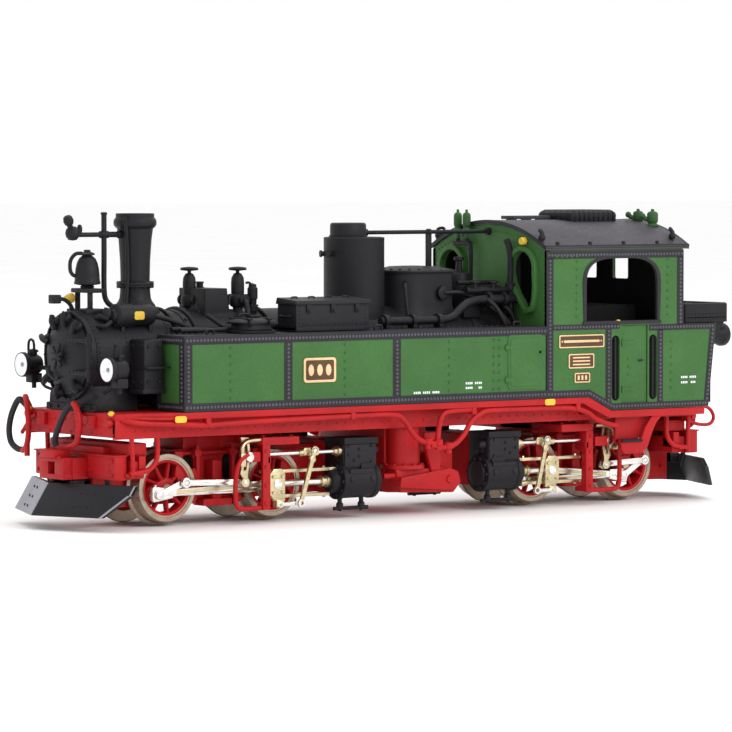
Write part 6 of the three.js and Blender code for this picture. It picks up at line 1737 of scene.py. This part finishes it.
def motion(bogie, side):
    """Rods, crosshead and valve gear of one side."""
    name = f"{bogie.end}_{side}"
    crank = bogie.at(f"{side}_coupling_rod_pin")
    inner_pin = (crank[0] - bogie.outer[0] + bogie.inner[0], crank[1])
    cross_x = bogie.reach(f"{side}_crosshead")[1] - 1.2

    coupling = Solid(f"{name}_side_rod", SILVER, NICKEL)
    coupling.link(inner_pin, crank, (6.05, 6.5), 0.72, (0.82, 0.86), bevel=0.09, hole=0.42)
    for end in (inner_pin, crank):
        coupling.hoop("y", end, [(0.42, 6.03), (0.62, 6.03), (0.62, 6.56), (0.42, 6.56)], 24, 1)
    flute = [(inner_pin[0] + 1.3, crank[1] - 0.14), (crank[0] - 1.3, crank[1] - 0.14),
        (crank[0] - 1.3, crank[1] + 0.14), (inner_pin[0] + 1.3, crank[1] + 0.14)]
    coupling.plate("y", flute, 6.42, 6.54, tone=1, bevel=0.02)
    for end in (inner_pin, crank):
        coupling.turn("z", (end[0], 6.27), [(0, end[1] + 0.7), (0.22, end[1] + 0.7), (0.22, end[1] + 1.1),
            (0, end[1] + 1.12)], 14)
    bogie.finish(coupling, side, f"{side}_coupling_rod", "bright_steel", f"{side}_coupling_rod")

    drive = Solid(f"{name}_main_rod", SILVER, NICKEL)
    gudgeon = (cross_x, AXLE_Z)
    drive.link(gudgeon, crank, (6.6, 7.1), 0.86, (0.9, 0.9), bevel=0.1, hole=0.42)
    along = Vector((crank[0] - gudgeon[0], crank[1] - gudgeon[1])).normalized()
    across = Vector((-along.y, along.x))

    def rod_point(d, w, base=gudgeon):
        return (base[0] + along.x * d + across.x * w, base[1] + along.y * d + across.y * w)

    big = [rod_point(d, w, crank) for d, w in ((-2.1, -0.62), (0.75, -0.95), (0.95, -0.7), (0.95, 0.7),
        (0.75, 0.95), (-2.1, 0.62))]
    hole = arc(crank, 0.42, 0, 337.5, 15)[::-1]
    drive.plate("y", big, 6.58, 7.16, [hole], bevel=0.1)
    length = hypot(crank[0] - gudgeon[0], crank[1] - gudgeon[1])
    groove = [rod_point(d, w) for d, w in ((1.5, -0.2), (length - 2.7, -0.24), (length - 2.7, 0.24),
        (1.5, 0.2))]
    drive.plate("y", groove, 7.06, 7.14, tone=1, bevel=0.02)
    for d in (-1.5, -0.95):
        spot_at = rod_point(d, 0, crank)
        drive.bolts([(spot_at[0], 7.16, spot_at[1])], (0, 1, 0), 0.17, 0.08)
    drive.hoop("y", crank, [(0.42, 6.56), (0.6, 6.56), (0.6, 7.2), (0.42, 7.2)], 24, 1)
    bogie.finish(drive, side, f"{side}_connecting_rod", "bright_steel", f"{side}_connecting_rod")

    head = Solid(f"{name}_crosshead_block", NICKEL, SILVER)
    z = AXLE_Z
    for dz in (-1, 1):
        head.block(cross_x - 1.2, cross_x + 1.2, 7.4, 8.5, *sorted((z + dz * 0.75, z + dz * 1.32)), 0, 0.1)
    head.block(cross_x - 0.75, cross_x + 0.75, 7.42, 8.4, z - 0.8, z + 0.8, 0, 0.12)
    cheek = [(-1.15, -2.15), (0.5, -2.15), (1.15, -1.3), (1.15, 1.3), (0.6, 1.95), (-0.6, 1.95),
        (-1.15, 1.3)]
    head.plate("y", [(cross_x + u, z + v) for u, v in cheek], 8.58, 9.0, tone=0, bevel=0.09)
    head.block(cross_x - 0.95, cross_x + 0.95, 8.35, 8.7, z - 1.2, z + 1.2, 0, 0.08)
    head.bolts([(cross_x + u, 9.0, z + v) for u in (-0.72, 0.72) for v in (-1.0, 1.0)], (0, 1, 0), 0.24,
        0.2)
    head.turn("y", (cross_x, z), [(0, 6.62), (0.4, 6.62), (0.4, 8.9), (0.58, 8.95), (0.58, 9.14),
        (0.3, 9.22), (0, 9.22)], 24, tone=1)
    head.block(cross_x - 0.75, cross_x + 0.45, 8.6, 9.38, 1.95, 2.9, 0, 0.12)
    head.link((cross_x - 2.35, 2.32), (cross_x - 0.2, 2.32), (9.1, 9.4), 0.46, (0.3, 0.42), tone=1,
        bevel=0.05)
    head.bolts([(cross_x - 0.2, 9.4, 2.32)], (0, 1, 0), 0.22, 0.14)
    low_x = bogie.reach(f"{side}_crosshead")[0]
    head.turn("x", (7.9, z), [(0, low_x), (0.42, low_x), (0.42, cross_x - 1.1), (0.66, cross_x - 1.05),
        (0.66, cross_x - 0.6), (0, cross_x - 0.6)], 28, tone=1)
    bogie.finish(head, side, f"{side}_crosshead", "nickel_gear", f"{side}_crosshead")

    lever_top = bogie.at(f"{side}_combination_lever_swing")
    lever_foot = (cross_x - 3.1, 2.4)
    lever = Solid(f"{name}_lap_lever", NICKEL, SILVER)
    lever.link(lever_foot, lever_top, (9.5, 9.8), 0.55, (0.5, 0.52), bevel=0.06, hole=0.38)
    step = Vector((lever_foot[0] - lever_top[0], lever_foot[1] - lever_top[1])) * 0.17
    boss = (lever_top[0] + step.x, lever_top[1] + step.y)
    lever.turn("y", boss, [(0, 9.46), (0.42, 9.46), (0.42, 9.84), (0.2, 9.9), (0, 9.9)], 20)
    lever.hoop("y", lever_foot, [(0.3, 9.42), (0.46, 9.42), (0.46, 9.84), (0.3, 9.84)], 20, 1)
    bogie.finish(lever, side, f"{side}_combination_lever", "nickel_gear", f"{side}_combination_lever")

    eccentric = bogie.at(f"{side}_eccentric_rod_pin")
    foot = (bogie.reach(f"{side}_eccentric_rod")[0] + 0.62, bogie.trunnion[1] - LINK_ARM)
    ecc = Solid(f"{name}_return_rod", NICKEL, SILVER)
    ecc.link(foot, eccentric, (7.86, 8.24), 0.74, (0.6, 0.66), tone=1, bevel=0.08, hole=0.38)
    for end in (foot, eccentric):
        ecc.hoop("y", end, [(0.36, 7.85), (0.5, 7.85), (0.5, 8.3), (0.36, 8.3)], 20, 1)
    bogie.finish(ecc, side, f"{side}_eccentric_rod", "bright_steel", f"{side}_eccentric_rod")

    link = Solid(f"{name}_curved_link", NICKEL, SILVER)
    tilt = asin((foot[0] - bogie.trunnion[0]) / LINK_ARM)

    def lean(u, v):
        return (bogie.trunnion[0] + u * cos(tilt) - v * sin(tilt), bogie.trunnion[1] + u * sin(tilt)
            + v * cos(tilt))

    def curve(offset, low, high, count=10):
        points = []
        for k in range(count + 1):
            v = low + (high - low) * k / count
            points.append(lean(offset + 0.06 * v * v, v))
        return points

    outer = curve(-0.58, 2.45, -2.1) + [lean(-0.34, -2.7), lean(0.34, -2.7)] + curve(0.58, -2.1, 2.45)
    slot = curve(-0.2, 1.9, 0.55, 6) + curve(0.2, 0.55, 1.9, 6)
    low_slot = curve(-0.2, -0.55, -1.7, 6) + curve(0.2, -1.7, -0.55, 6)
    link.plate("y", outer, 8.46, 8.84, [slot, low_slot], bevel=0.06)
    tail = [lean(-0.32, -2.6), lean(-0.32, -3.1), lean(0.32, -3.1), lean(0.32, -2.6)]
    link.plate("y", tail, 8.46, 8.84)
    link.hoop("y", foot, [(0.3, 8.44), (0.6, 8.44), (0.6, 8.86), (0.3, 8.86)], 24, 0)
    link.hoop("y", bogie.trunnion, [(0.3, 8.42), (0.62, 8.42), (0.62, 8.9), (0.3, 8.9)], 24, 1)
    link.turn("y", foot, [(0, 8.0), (0.27, 8.0), (0.27, 8.9), (0, 8.95)], 18, tone=1)
    bogie.finish(link, side, f"{side}_expansion_link", "nickel_gear", f"{side}_expansion_link")


def build_bogie(end):
    bogie = Bogie(end)
    bogie_frame(bogie)
    plough_blades(bogie)
    steam_pipes(bogie)
    for which in ("outer", "inner"):
        wheels(bogie, which)
    for side in ("left", "right"):
        cylinder_block(bogie, side)
        motion(bogie, side)


# ------------------------------------------------------------------ assembly

underframe()
ash_hopper()
boiler_barrel()
smokebox_drum()
door_dish()
chimney_stack()
bell_and_feedpipe()
sand_dome()
steam_dome()
regulator_cover()
reach_pipe()
tank_top_pipes()
roof_whistles()
for tank_side, tank_name in SIDES:
    side_tank(tank_side, tank_name)
    filler(tank_side, tank_name)
    headlamp(tank_side, tank_name)
tool_chest()
cab()
cab_plates()
roof_sheet()
vent_box()
bunker()
drive_parts()
hoses()
for bogie_end in ("front", "rear"):
    build_bogie(bogie_end)


# ------------------------------------------------------------------ floor, light and camera


def plain(name, colour):
    """A near-even matt paint for the floor."""
    s = Shader(name)
    s.colour(s.blend(s.spread(s.noise(60.0), 0, 1), linear(colour), linear(shade(colour, 0.985))))
    s.set(Roughness=0.8, Specular_IOR_Level=0.2)
    return s.material


def studio():
    floor_mesh = bmesh.new()
    bmesh.ops.create_grid(floor_mesh, x_segments=2, y_segments=2, size=4.0)
    data = bpy.data.meshes.new("studio_floor")
    floor_mesh.to_mesh(data)
    floor_mesh.free()
    data.materials.append(plain("floor_white", (254, 254, 254)))
    floor = bpy.data.objects.new("studio_floor", data)
    bpy.context.scene.collection.objects.link(floor)

    world = bpy.data.worlds.new("studio")
    world.use_nodes = True
    world.node_tree.nodes["Background"].inputs["Color"].default_value = (1, 1, 1, 1)
    world.node_tree.nodes["Background"].inputs["Strength"].default_value = 1.0
    bpy.context.scene.world = world


def softbox(name, place, target, size, power):
    light = bpy.data.lights.new(name, "AREA")
    light.shape = "RECTANGLE"
    light.size, light.size_y = size
    light.energy = power
    lamp = bpy.data.objects.new(name, light)
    lamp.location = place
    lamp.rotation_euler = (Vector(target) - Vector(place)).to_track_quat("-Z", "Y").to_euler()
    bpy.context.scene.collection.objects.link(lamp)


# Lens and sensor in millimetres, place in metres, turns in degrees.
LENS = 223.62
SENSOR = 36.0
EYE = (-0.3537, -0.4750, 0.04487)
PITCH_DOWN = 2.512
HEADING = -36.52


def camera():
    """The photo's own view, solved on its wheel centres, footplate, cab, chimney and dome."""
    data = bpy.data.cameras.new("camera")
    data.sensor_width = SENSOR
    data.lens = LENS
    data.clip_start = 0.01
    eye = bpy.data.objects.new("camera", data)
    eye.location = EYE
    eye.rotation_euler = (radians(90 - PITCH_DOWN), 0, radians(HEADING))
    bpy.context.scene.collection.objects.link(eye)
    bpy.context.scene.camera = eye


camera()
studio()
softbox("key_light", (0.1, -0.5, 0.3), (0, 0, 0.02), (0.4, 0.3), 1.5)
softbox("top_light", (0.1, 0.1, 0.55), (0, 0, 0.02), (0.6, 0.5), 1.2)
bpy.context.scene.view_settings.view_transform = "Standard"
